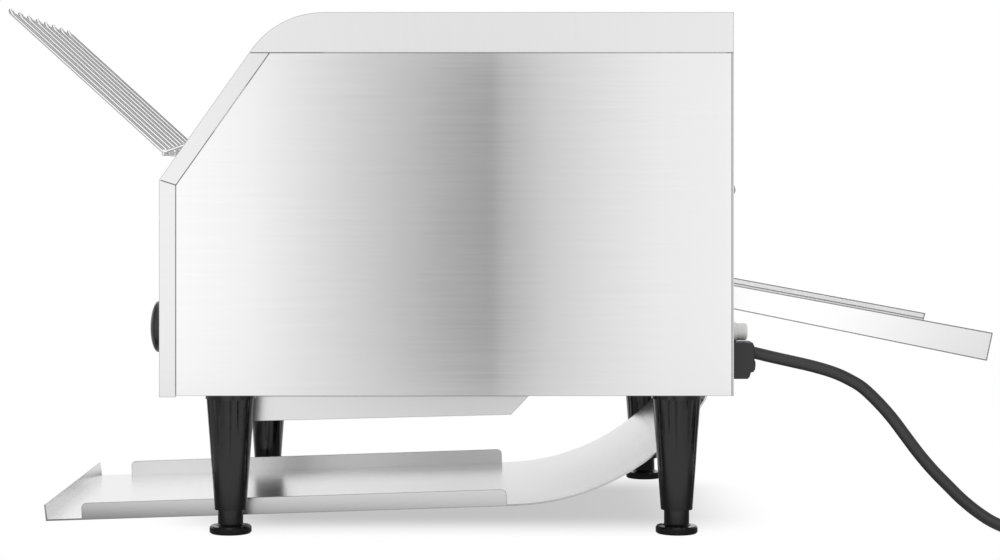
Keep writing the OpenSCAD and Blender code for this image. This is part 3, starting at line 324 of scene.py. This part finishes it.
def knob_plastic(name, x):
    """Black knob with a white line in the groove of its domed face, above the knob's own middle."""
    plastic = Finish(name)
    speck = plastic.noise((500, 500, 500), 3.0, 0.6)
    cloud = plastic.noise((30, 30, 30), 3.0, 0.5)
    side = plastic.measured((1, 0, 0), (x, 0, 0)).size().below(KNOB_LINE_HALF)
    high = 1 - plastic.measured((0, 0, 1), (0, 0, KNOB_Z)).below(KNOB_LINE_START)
    face = plastic.measured((0, 1, 0), (0, KNOB_FACE, 0)).below(0.0)
    line = side * high * face
    colour = plastic.mix(line, plastic.mix(cloud, grey(0.010), grey(0.018)), grey(0.75))
    return plastic.shade(Base_Color=colour, Roughness=0.30 + (speck - 0.5) * 0.10, Coat_Weight=0.15,
                         Coat_Roughness=0.08, Normal=plastic.bump(speck, 0.000008))


def plug_plastic():
    """Black moulded plug, with bright metal from the face its pins stand on."""
    plug = Finish("plug_black")
    speck = plug.noise((900, 900, 900), 3.0, 0.6)
    pins = plug.measured((1, 0, 0), (PLUG_FACE_X, 0, 0)).below(0.0)
    colour = plug.mix(pins, plug.mix(speck, grey(0.012), grey(0.020)), grey(0.72, 0.02))
    return plug.shade(Base_Color=colour, Metallic=pins, Roughness=0.38 - pins * 0.16 + (speck - 0.5) * 0.08,
                      Normal=plug.bump(speck, 0.000008))


def bright_wire():
    """Drawn and polished wire, with only broad, faint changes of tone."""
    wire = Finish("rack_wire")
    cloud = wire.noise((90, 90, 90), 3.0, 0.5)
    colour = wire.mix(cloud, grey(0.86), grey(0.96))
    return wire.shade(Base_Color=colour, Metallic=1.0, Roughness=0.10 + (cloud - 0.5) * 0.04)


def moulded(name, colour, roughness, texture=0.00003, coat=0.0, scale=700):
    """Moulded plastic or rubber with a fine surface texture and faint tone changes."""
    plastic = Finish(name)
    speck = plastic.noise((scale, scale, scale), 3.0, 0.6)
    cloud = plastic.noise((30, 30, 30), 3.0, 0.5)
    dark = (*[c * 0.85 for c in colour], 1)
    light = (*[min(1, c * 1.15) for c in colour], 1)
    return plastic.shade(Base_Color=plastic.mix(cloud, dark, light), Coat_Weight=coat, Coat_Roughness=0.08,
                         Roughness=roughness + (speck - 0.5) * 0.12, Normal=plastic.bump(speck, texture))


def frosted_quartz():
    """Milky quartz tube with the turns of its heating wire showing as faint darker rings."""
    quartz = Finish("frosted_quartz")
    cloud = quartz.noise((80, 500, 500), 3.0, 0.5)
    turns = quartz.measured((1, 0.4, 0.4)) * (2 * np.pi / COIL_TURN_PITCH)
    rings = (turns.maths("SINE", turns) * 0.5 + 0.5) ** 3.0
    milky = quartz.mix(cloud, (0.80, 0.77, 0.70, 1), (0.90, 0.88, 0.82, 1))
    return quartz.shade(Base_Color=quartz.mix(rings * 0.55, milky, (0.36, 0.26, 0.20, 1)),
                        Roughness=0.25 + cloud * 0.15, Coat_Weight=0.6, Coat_Roughness=0.1)


# a sheet's own finish: along and across its grain, level, roughness and anisotropy
finishes = {
    "side_steel": brushed_steel("side_steel", (1, 1, 0), (0, 0, 1), 0.80, 0.13, 1.0),
    "cover_steel": brushed_steel("cover_steel", (1, 0, 1), (0, 1, 0), 0.97, 0.50),
    "front_steel": brushed_steel("front_steel", (1, 1, 0), (0, 0, 1), 0.80, 0.30, printed=dial_marks),
    "rear_steel": brushed_steel("rear_steel", (1, 1, 0), (0, 0, 1), 0.80, 0.30),
    "tray_steel": brushed_steel("tray_steel", (0, 1, 0), (1, 0, 1), 0.80, 0.24, grain=0.6),
    "chute_steel": brushed_steel("chute_steel", (0, 1, 0), (1, 0, 1), 0.80, 0.24, grain=0.0),
    # the rear chute's edges get strong painted shade, drawn as dark lines
    "chute_edge_shaded_steel": brushed_steel("chute_edge_shaded_steel", (0, 1, 0), (1, 0, 1), 0.88, 0.24, grain=0.4, edge_painted_shade=5.0,
                                  edge_depth=CHUTE_EDGE_SHADE_DEPTH),
    "inner_steel": plain_metal("inner_steel", 0.62, 0.34),
    "reflector": plain_metal("reflector", 0.82, 0.16, mottle=0.08),
    "belt_wire": plain_metal("belt_wire", 0.42, 0.36, 0.08),
    "rack_wire": bright_wire(),
    "shaft_steel": plain_metal("shaft_steel", 0.50, 0.30),
    "bronze": plain_metal("bronze", 0.42, 0.34, 0.38),
    "screw_steel": plain_metal("screw_steel", 0.72, 0.22),
    "motor_paint": moulded("motor_paint", (0.05, 0.055, 0.06), 0.35, coat=0.3),
    "dark_plastic": moulded("dark_plastic", (0.016, 0.016, 0.017), 0.40, 0.000008, scale=1200),
    "selector_black": knob_plastic("selector_black", SELECTOR_X),
    "speed_black": knob_plastic("speed_black", SPEED_X),
    "plug_black": plug_plastic(),
    "leg_black": moulded("leg_black", (0.006, 0.006, 0.007), 0.14, 0.000002, scale=120),
    "white_plastic": moulded("white_plastic", (0.80, 0.80, 0.78), 0.35, coat=0.3),
    "ceramic": moulded("ceramic", (0.78, 0.76, 0.70), 0.6, 0.00006),
    "cord_rubber": moulded("cord_rubber", (0.030, 0.030, 0.031), 0.42, 0.000002, scale=1500),
    "green_lens": moulded("green_lens", (0.03, 0.35, 0.07), 0.12, 0.0, 0.8),
    "amber_lens": moulded("amber_lens", (0.65, 0.16, 0.02), 0.12, 0.0, 0.8),
    "quartz": frosted_quartz(),
}

WEARS = {
    "side_steel": ["left_side_panel", "right_side_panel"],
    "cover_steel": ["top_cover"],
    "front_steel": ["front_fascia"],
    "rear_steel": ["rear_panel"],
    "tray_steel": ["crumb_tray"],
    "chute_edge_shaded_steel": ["rear_chute"],
    "chute_steel": ["front_tray"],
    "inner_steel": ["base_plate", "left_inner_plate", "right_inner_plate", "motor_bracket", "rack_keeper",
                    "crumb_tray_rails", "chute_runners"],
    "reflector": ["upper_reflector", "lower_reflector"],
    "belt_wire": ["conveyor_belt"],
    "rack_wire": ["feed_rack"],
    "shaft_steel": ["drive_shaft", "idler_shaft", "drive_belt_sprockets", "idler_belt_sprockets",
                    "drive_chain_sprocket", "drive_chain", "motor_sprocket", "selector_spindle",
                    "speed_spindle"],
    "bronze": ["shaft_bushes"],
    "screw_steel": ["rear_screws", "leg_bolts"],
    "motor_paint": ["gear_motor"],
    "dark_plastic": ["selector_switch", "speed_control", "reset_breaker", "cable_gland"],
    "selector_black": ["selector_knob"],
    "speed_black": ["speed_knob"],
    "plug_black": ["power_plug"],
    "leg_black": ["front_left_leg", "front_right_leg", "rear_left_leg", "rear_right_leg",
                  "front_left_foot", "front_right_foot", "rear_left_foot", "rear_right_foot"],
    "white_plastic": ["reset_button", "reset_collar"],
    "ceramic": ["heater_end_caps", "terminal_block"],
    "cord_rubber": ["power_cord", "power_cord_coil", "power_cord_tail"],
    "green_lens": ["power_lamp"],
    "amber_lens": ["heating_lamp"],
    "quartz": ["upper_heaters", "lower_heaters"],
}
EDGE_RADIUS = {"cable_gland": 1.0, "reset_button": 0.4, "gear_motor": 1.0}     # in millimetres


def soften_edges(node, radius):
    """Rounds a node's sharp edges by a small radius once its loose triangles are joined."""
    weld = node.modifiers.new("join", "WELD")
    weld.merge_threshold = 0.00001
    bevel = node.modifiers.new("edges", "BEVEL")
    bevel.width = radius * MM
    bevel.segments = 2
    bevel.limit_method = "ANGLE"
    bevel.angle_limit = np.radians(35)


def dress_cad_nodes():
    for finish, worn_by in WEARS.items():
        for name in worn_by:
            for slot in nodes[name].material_slots:
                slot.material = finishes[finish]
    for name, radius in EDGE_RADIUS.items():
        soften_edges(nodes[name], radius)


# ---- Meshes from grids ----

def new_piece(name, points, faces, finish):
    """A smooth-shaded mesh object from points and faces' corner numbers."""
    mesh = bpy.data.meshes.new(name)
    mesh.from_pydata(np.asarray(points).tolist(), [], faces)
    mesh.polygons.foreach_set("use_smooth", np.ones(len(mesh.polygons), bool))
    mesh.materials.append(finishes[finish])
    piece = bpy.data.objects.new(name, mesh)
    bpy.context.scene.collection.objects.link(piece)
    return piece


def spline(points, steps):
    """A smooth line through the points: on each stretch the Catmull-Rom cubic, in steps equal parts."""
    p = np.asarray(points, float)
    ends = np.vstack([2 * p[:1] - p[1:2], p, 2 * p[-1:] - p[-2:-1]])
    t = (np.arange(steps) / steps)[:, None, None]
    a, b, c, d = ends[:-3], ends[1:-2], ends[2:-1], ends[3:]
    cubic = 0.5 * (2 * b + (c - a) * t + (2 * a - 5 * b + 4 * c - d) * t**2 + (3 * b - a - 3 * c + d) * t**3)
    return np.vstack([cubic.transpose(1, 0, 2).reshape(-1, 3), p[-1:]])


def tube_grid(path, radius, sides):
    """Rings of a tube: the path's points plus the radius along two directions square to the path, the
    first of which is carried from ring to ring so that the tube does not twist."""
    path = np.asarray(path, float)
    way = np.gradient(path, axis=0)
    way /= np.linalg.norm(way, axis=1)[:, None]
    side = np.empty_like(path)
    guess = np.cross(way[0], (0.1, 0.2, 1.0))
    for i, w in enumerate(way):
        guess = guess - (guess @ w) * w
        guess = guess / np.linalg.norm(guess)
        side[i] = guess
    top = np.cross(way, side)
    turn = np.linspace(0, 2 * np.pi, sides, endpoint=False)[None, :, None]
    r = np.broadcast_to(np.asarray(radius, float), (len(path),))[:, None, None]
    return path[:, None, :] + r * (np.cos(turn) * side[:, None, :] + np.sin(turn) * top[:, None, :])


def grid_faces(rows, columns):
    """Quads between neighbouring rows of a grid whose columns close round."""
    i, j = np.meshgrid(np.arange(rows - 1), np.arange(columns), indexing="ij")
    k = (j + 1) % columns
    return np.stack([i * columns + j, i * columns + k, (i + 1) * columns + k, (i + 1) * columns + j],
                    -1).reshape(-1, 4)


def tube_parts(path, radius, sides):
    """Points and faces of a closed tube along a path, its ends closed by fans round a middle point."""
    rings = tube_grid(path, radius, sides)
    rows = len(rings)
    points = np.vstack([rings.reshape(-1, 3), rings[0].mean(0), rings[-1].mean(0)])
    middle, last = rows * sides, (rows - 1) * sides
    neighbours = [(a, (a + 1) % sides) for a in range(sides)]
    fans = [(middle, b, a) for a, b in neighbours]
    fans += [(middle + 1, last + a, last + b) for a, b in neighbours]
    return points, [tuple(face) for face in grid_faces(rows, sides).tolist()] + fans


def joined(name, parts, finish):
    """One object from several tubes' points and faces."""
    points, faces, first = [], [], 0
    for part_points, part_faces in parts:
        points.append(part_points)
        faces += [tuple(first + c for c in face) for face in part_faces]
        first += len(part_points)
    return new_piece(name, np.vstack(points), faces, finish)


# ---- Feed rack ----

RACK_WIRE = 2.6 * MM                   # a little finer than the plain solid's wire
RACK_LOOPS = 8
RACK_PITCH = 35 * MM
LOOP_WIDTH = 12 * MM
RACK_LENGTH = 158.6 * MM               # up the slope, from the lower bend to the tips
HOOK_LENGTH = 42 * MM                  # and the other way, up to the hooked ends
RACK_BEND = np.array([FRONT - 4 * MM, BODY_HEIGHT + 178 * MM])
RACK_BEND_RADIUS = 4 * MM
RACK_SLOPE = np.radians(42.3)
HOOK_SLOPE = np.radians(19)
TIP_RISE = LOOP_WIDTH / 4              # how far a loop's end runs straight on before it turns up
TIP_TURN = np.radians(35)              # how far the tips turn up, half as much as the plain solid's
UP_SLOPE = np.array([-np.cos(RACK_SLOPE), np.sin(RACK_SLOPE)])
OFF_SLOPE = np.array([UP_SLOPE[1], -UP_SLOPE[0]])     # square to the slope, upward
UP_HOOK = np.array([np.cos(HOOK_SLOPE), np.sin(HOOK_SLOPE)])
INTO_BEND = (UP_SLOPE + UP_HOOK) / np.linalg.norm(UP_SLOPE + UP_HOOK)
BEND_MIDDLE = RACK_BEND + RACK_BEND_RADIUS / np.cos((RACK_SLOPE + HOOK_SLOPE) / 2) * INTO_BEND
ROD_OFFSET = 0.85 * RACK_WIRE          # from the loops' wires to the rods welded across them
HOOK_ROD = 8 * MM                      # the second rod's place along the hooks
ROD_CHAMFER = 0.4 * MM
WIRE_SIDES = 14


def loop_tip(reach):
    """Points of a loop's end, so far beyond its straight wires: up the slope for a quarter of the loop's
    width, then along an arc that turns up towards the tip's own slope."""
    bent = np.clip(reach - TIP_RISE, 0, None)
    turn = TIP_TURN * np.clip(bent / (LOOP_WIDTH / 2 - TIP_RISE), 0, 1)
    along = np.minimum(reach, TIP_RISE) + bent * np.cos(turn)
    return along[:, None] * UP_SLOPE + (bent * np.sin(turn))[:, None] * OFF_SLOPE


def loop_line(x):
    """One wire: in from its hooked end, round the lower bend, up the slope, half round the loop's end and
    back on the other side. The lower bend is an arc between the two directions it joins."""
    bend = np.linspace(HOOK_SLOPE - np.pi / 2, -RACK_SLOPE - np.pi / 2, 8)
    arc = BEND_MIDDLE + RACK_BEND_RADIUS * np.column_stack([np.cos(bend), np.sin(bend)])
    straight = np.linspace(HOOK_LENGTH, 2 * RACK_BEND_RADIUS, 4)[:, None] * UP_HOOK + RACK_BEND
    climb = np.linspace(0.1, 0.99, 6)[:, None] * (RACK_LENGTH - LOOP_WIDTH / 2) * UP_SLOPE + RACK_BEND
    side = np.vstack([straight, arc, climb])
    half = LOOP_WIDTH / 2
    around = np.linspace(0, np.pi, 21)
    end = RACK_BEND + (RACK_LENGTH - half) * UP_SLOPE + loop_tip(half * np.sin(around))
    return np.vstack([
        np.column_stack([np.full(len(side), x - half), side]),
        np.column_stack([x - half * np.cos(around), end]),
        np.column_stack([np.full(len(side), x + half), side[::-1]])])


def make_feed_rack():
    """Eight bright wire loops on two cross rods, one under the lower bend and one under the hooks."""
    xs = (np.arange(RACK_LOOPS) - (RACK_LOOPS - 1) / 2) * RACK_PITCH
    parts = [tube_parts(loop_line(x), RACK_WIRE / 2, WIRE_SIDES) for x in xs]
    reach = xs[-1] + LOOP_WIDTH / 2 + MM
    rods = [BEND_MIDDLE - (RACK_BEND_RADIUS + ROD_OFFSET) * INTO_BEND,
            RACK_BEND + HOOK_ROD * UP_HOOK + ROD_OFFSET * np.array([UP_HOOK[1], -UP_HOOK[0]])]
    for rod in rods:
        ends = np.array([[x, *rod] for x in (-reach, -reach + ROD_CHAMFER, reach - ROD_CHAMFER, reach)])
        parts.append(tube_parts(ends, RACK_WIRE / 2 * np.array([0.75, 1, 1, 0.75]), WIRE_SIDES))
    rack = joined("rack_wires", parts, "rack_wire")
    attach(rack, "rack")
    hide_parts("feed_rack")


# ---- Conveyor belt ----

BELT_WIRE = 1.8 * MM
BELT_PITCH = 16 * MM
BELT_TEETH = 8                         # of a belt sprocket
BELT_RUN = 19                          # strands on the upper run, and on the lower
BELT_HALF = 123 * MM
BELT_COLUMNS = 3                       # teeth of a strand
HOOK_HALF = 5 * MM
STRAND_BEND = 1.6 * MM                 # where a corner's curve starts, from the corner
BELT_RADIUS = BELT_PITCH / (2 * np.sin(np.pi / BELT_TEETH))
BELT_FRONT = np.array([FRONT + 46 * MM, BODY_HEIGHT + 150 * MM])
HOOK_LIFT = 1.45 * BELT_WIRE           # how far a strand's hooks lie over the wire before it
HOOK_REACH = BELT_PITCH + 1.25 * BELT_WIRE


def rounded_corners(points, radius, steps):
    """A line whose inner corners are replaced by parabolas that start and end a radius from each corner."""
    p = np.asarray(points, float)
    corner = p[1:-1]
    back, ahead = p[:-2] - corner, p[2:] - corner
    a = corner + radius * back / np.linalg.norm(back, axis=1)[:, None]
    b = corner + radius * ahead / np.linalg.norm(ahead, axis=1)[:, None]
    t = np.linspace(0, 1, steps)[None, :, None]
    curves = (1 - t)**2 * a[:, None] + 2 * (1 - t) * t * corner[:, None] + t**2 * b[:, None]
    return np.vstack([p[:1], curves.reshape(-1, p.shape[1]), p[-1:]])


def strand_corners():
    """One wire of the belt across its width: flat, with a hook at each end and square teeth that reach to
    the wire before it."""
    tooth = np.array([[-1, 0], [-1, 1], [1, 1], [1, 0]]) * [HOOK_HALF, HOOK_REACH]
    gap = 2 * BELT_HALF / (BELT_COLUMNS + 1)
    teeth = np.vstack([tooth + [-BELT_HALF + (i + 1) * gap, 0] for i in range(BELT_COLUMNS)])
    first = np.array([[-BELT_HALF + HOOK_HALF, HOOK_REACH], [-BELT_HALF, HOOK_REACH], [-BELT_HALF, 0]])
    return np.vstack([first, teeth, first[::-1] * [-1, 1]])


def strand_places():
    """Where each strand lies and the way that is outward there: along the upper run, half round the rear
    shaft, back along the lower run and half round the front one."""
    k = np.arange(2 * BELT_RUN + BELT_TEETH)
    half = BELT_TEETH // 2
    rear, back = BELT_RUN, BELT_RUN + half
    turn = np.select([k <= rear, k < back, k <= back + BELT_RUN],
                     [0 * k, (k - rear) * 2 * np.pi / BELT_TEETH, 0 * k + np.pi],
                     np.pi + (k - back - BELT_RUN) * 2 * np.pi / BELT_TEETH)
    along = np.select([k <= rear, k < back, k <= back + BELT_RUN],
                      [k * BELT_PITCH, rear * BELT_PITCH + BELT_RADIUS * np.sin(turn),
                       (rear + back - k) * BELT_PITCH], BELT_RADIUS * np.sin(turn))
    place = BELT_FRONT + np.column_stack([along, BELT_RADIUS * np.cos(turn)])
    return place, np.column_stack([np.sin(turn), np.cos(turn)])


def make_belt():
    """The strand's tube, worked out once in its own plane and laid from each place towards the wire before
    it, with its hooks over that wire."""
    flat = rounded_corners(strand_corners(), STRAND_BEND, 4)
    points, faces = tube_parts(np.column_stack([flat, np.zeros(len(flat))]), BELT_WIRE / 2, 7)
    place, outward = strand_places()
    way = np.roll(place + HOOK_LIFT * outward, 1, axis=0) - place
    way /= np.linalg.norm(way, axis=1)[:, None]
    normal = np.column_stack([-way[:, 1], way[:, 0]])
    x, u, w = points.T
    side = place[:, None, :] + u[None, :, None] * way[:, None, :] + w[None, :, None] * normal[:, None, :]
    laid = np.concatenate([np.broadcast_to(x[None, :, None], (len(place), len(x), 1)), side], axis=2)
    belt = joined("belt_wires", [(strand, faces) for strand in laid], "belt_wire")
    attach(belt, "case")
    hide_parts("conveyor_belt")


# ---- Cord ----

CORD_D = 9 * MM
CORD_LIE = 4.7                         # millimetres from the worktop to the middle of the cord on it
GLAND_Z = 133.5 * MM
CORD_ROUTE = np.array([
    (152, 194.7, 131.3), (152, 204, 129.1), (152.5, 219, 125.8), (153, 233, 122.5),
    (153.5, 247, 118.2), (154, 258, 113.2), (155, 268, 107), (156, 279.5, 96), (157, 289.5, 84.5),
    (158, 298, 73), (159.5, 308, 59.5),
    (161, 318, 47.5), (163, 329, 36), (165, 339, 26), (167, 350, 17), (169, 361, 10),
    (171, 373, 5.5), (171, 388, CORD_LIE), (166, 408, CORD_LIE), (157, 428, CORD_LIE),
    (152, 446, CORD_LIE)]) * MM
TAIL_ROUTE = np.array([(89, 511.4, 14.3), (75, 511.4, 16), (62, 511.4, 18), (59, 511.4, 18.6),
                       (50, 511.4, 18.6)]) * MM
COIL_MIDDLE = np.array([98, 455]) * MM
COIL_RADIUS = 54 * MM
COIL_PITCH = 9.6 * MM                  # from turn to turn, and from layer to layer
COIL_HALF_WAY = 720                    # degrees to where the coil is narrowest
COIL_TURN = 1530                       # degrees to its end


def coil_route():
    """Turns that wind in and out again one layer higher: the radius falls by a pitch a turn up to half
    way and grows again, and the height rises by a layer over the half turn round that point."""
    a = np.arange(0, COIL_TURN + 1, 15)
    r = COIL_RADIUS - COIL_PITCH * (COIL_HALF_WAY - np.abs(a - COIL_HALF_WAY)) / 360
    z = CORD_LIE * MM + COIL_PITCH * np.clip((a - COIL_HALF_WAY + 90) / 180, 0, 1)
    flat = COIL_MIDDLE[:, None] + r * np.array([np.cos(np.radians(a)), np.sin(np.radians(a))])
    return np.column_stack([flat.T, z])


def make_cord():
    """The mains cord from its clamp to its plug, on the route of its solids."""
    start = np.array([CORD_ROUTE[0][0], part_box("power_cord")[0].y, GLAND_Z])
    route = np.vstack([start, CORD_ROUTE, coil_route(), TAIL_ROUTE])
    line = spline(route, 4)
    cord = new_piece("mains_cord", *tube_parts(line, CORD_D / 2, 20), "cord_rubber")
    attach(cord, "case")
    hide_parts("power_cord", "power_cord_coil", "power_cord_tail")


# ---- Room ----

SKY_LEVEL = 0.62                # how brightly the room lights the toaster
ROOM_DIM = 0.50                 # how bright the metal sees the room towards its corners and ends
ROOM_FLAG = 0.38                # and how much darker high over the ends
ROOM_SIDES = (0.72, 0.90)       # share of a level way that points sideways, from dim to bright
ROOM_OVERHEAD = (0.86, 0.98)    # upward part of a way, from dim to bright
ROOM_HIGH = (0.52, 0.70)        # and from dim to darkest
LEAST = 0.0001                  # keeps a division away from zero
FLOOR_HALF = 9.0
FLOOR_GREY = 0.86
SHADOW_MIDDLE = (0, -0.03, 0)
SHADOW_HALF = (0.07, 0.13, 1)   # half the patch of floor where shadows show most
SHADOW_LEAST = 0.5              # and how white that patch is at least
SHADOW_FADE = 0.12              # from its edge to where the floor is all white
PAINTED_LIGHT_HALF = (1.40, 0.26, 1)   # half the patch of floor where the metal sees a painted pool of light
PAINTED_LIGHT_FADE = 0.30
PAINTED_LIGHT_LEVEL = 0.90             # and how bright it sees that patch
FAR_LEVEL = 0.46                # and the floor beyond it
PAINTED_SHADOW_HALF = (0.16, 0.34, 1)     # half the floor under the toaster and its rack where the metal sees a painted shadow
PAINTED_SHADOW_FADE = 0.12
PAINTED_SHADOW_LEVEL = 0.14
CARD_PLACE = 0.70               # from the middle of the toaster
CARD_FRONT, CARD_REAR = -0.60, 0.60
CARD_HEIGHT = 0.425
CARD_PEAK = 1.35
CARD_GLOW = [(-0.60, 1.0), (-0.30, 1.22), (-0.235, 1.12), (-0.14, 0.80), (-0.045, 0.50), (0.0, 0.40),
             (0.004, 0.50), (0.05, 0.74), (0.10, 0.90), (0.16, 1.04), (0.225, 1.08), (0.26, 1.3),
             (0.33, 1.3), (0.46, 0.95), (0.60, 0.95)]


def flat_stage(name, corners, material):
    """One flat quad that is no part of the toaster."""
    mesh = bpy.data.meshes.new(name)
    mesh.from_pydata(corners, [], [(0, 1, 2, 3)])
    mesh.materials.append(material)
    stage = bpy.data.objects.new(name, mesh)
    bpy.context.scene.collection.objects.link(stage)
    return stage


def white_surround():
    """A world that the camera sees as white. Metal sees it white on both sides and overhead, and darker
    towards the four corners and ends, as a room round a white sweep is, and darkest high over the ends,
    which draws a dark line along each wire of the rack. It lights the toaster evenly."""
    room = bpy.data.worlds.new("room")
    bpy.context.scene.world = room
    room.use_nodes = True
    surround = Finish.on_tree(room.node_tree)
    way = surround.add("TexCoord", out="Generated")
    x, y, z = [surround.add("SeparateXYZ", None, {0: way}, out=axis) for axis in "XYZ"]
    sideways = x.size() / (x * x + y * y + LEAST) ** 0.5
    beside = surround.rise(sideways, *ROOM_SIDES)
    above = surround.rise(z, *ROOM_OVERHEAD)
    dim = ROOM_DIM - ROOM_FLAG * surround.rise(z, *ROOM_HIGH)
    mirrored = dim + (1 - dim) * beside.maths("MAXIMUM", beside, above)
    rooms = [surround.add("Background", None, {"Color": WHITE, "Strength": level})
             for level in (1.0, mirrored, SKY_LEVEL)]
    surround.add("OutputWorld", None, {"Surface": surround.by_ray(*rooms)})


def pale_floor():
    """A pale floor that the camera sees fade to white: its own shade and the shadows on it count by half
    under the toaster's middle and less and less away from there. Metal mirrors it with a painted shadow
    under the toaster, a painted pool of light over a wide patch beside it and dimmer beyond."""
    paint = Finish("floor")
    folded = paint.vector("ABSOLUTE", paint.vector("SUBTRACT", paint.place(), SHADOW_MIDDLE))

    def away_from(half):
        """How far a point lies outside a rectangle round the middle."""
        beyond = paint.vector("SUBTRACT", folded, half)
        return paint.vector("LENGTH", paint.vector("MAXIMUM", beyond, (0, 0, 0)), out="Value")

    matt = paint.add("BsdfDiffuse", None, {"Color": grey(FLOOR_GREY)})
    fade = paint.rise(away_from(SHADOW_HALF), 0.0, SHADOW_FADE, SHADOW_LEAST, 1.0)
    bright = paint.rise(away_from(PAINTED_LIGHT_HALF), 0.0, PAINTED_LIGHT_FADE, PAINTED_LIGHT_LEVEL, FAR_LEVEL)
    clear = paint.rise(away_from(PAINTED_SHADOW_HALF), 0.0, PAINTED_SHADOW_FADE)
    seen = paint.either(fade, matt, paint.glow(WHITE))
    # painted shadow and painted light: for shiny surfaces the floor glows dim under the toaster and its
    # rack, bright over a patch beside it and dimmer beyond
    mirrored = paint.either(clear, paint.glow(grey(PAINTED_SHADOW_LEVEL)), paint.glow(WHITE, bright))
    paint.add("OutputMaterial", None, {"Surface": paint.by_ray(seen, mirrored, matt)})
    corners = [(x * FLOOR_HALF, y * FLOOR_HALF, 0) for x, y in ((-1, -1), (1, -1), (1, 1), (-1, 1))]
    flat_stage("floor", corners, paint.material)


def reflector_card(name, x, low):
    """A studio card beside the toaster, from a low edge up, that only its shiny surfaces see. It glows from
    bright at both ends down to a dim fold opposite the middle, a little brighter on the fold's rear side."""
    paint = Finish(name)
    along = paint.add("SeparateXYZ", None, {0: paint.place()}, out="Y")
    length = CARD_REAR - CARD_FRONT
    stops = [((y - CARD_FRONT) / length, (glow / CARD_PEAK,) * 3) for y, glow in CARD_GLOW]
    tone = paint.add("ValToRGB", {"stops": stops}, {"Fac": (along - CARD_FRONT) / length})
    paint.add("OutputMaterial", None, {"Surface": paint.glow(tone, CARD_PEAK)})
    card = flat_stage(name, [(x, CARD_FRONT, low), (x, CARD_REAR, low), (x, CARD_REAR, CARD_HEIGHT),
                             (x, CARD_FRONT, CARD_HEIGHT)], paint.material)
    card.visible_camera = False
    card.visible_diffuse = False
    card.visible_transmission = False
    card.visible_shadow = False


def make_room():
    white_surround()
    pale_floor()
    reflector_card("right_card", CARD_PLACE, low=0.035)
    reflector_card("left_card", -CARD_PLACE, low=0.20)
    area_lamp("top_softbox", place=(0.25, -0.1, 1.9), target=(0, 0, 0.2), size=(1.8, 1.8), power=26)


look_along_minus_x()
make_room()
dress_cad_nodes()
make_cord()
make_feed_rack()
make_belt()
bpy.context.scene.view_settings.view_transform = "Standard"
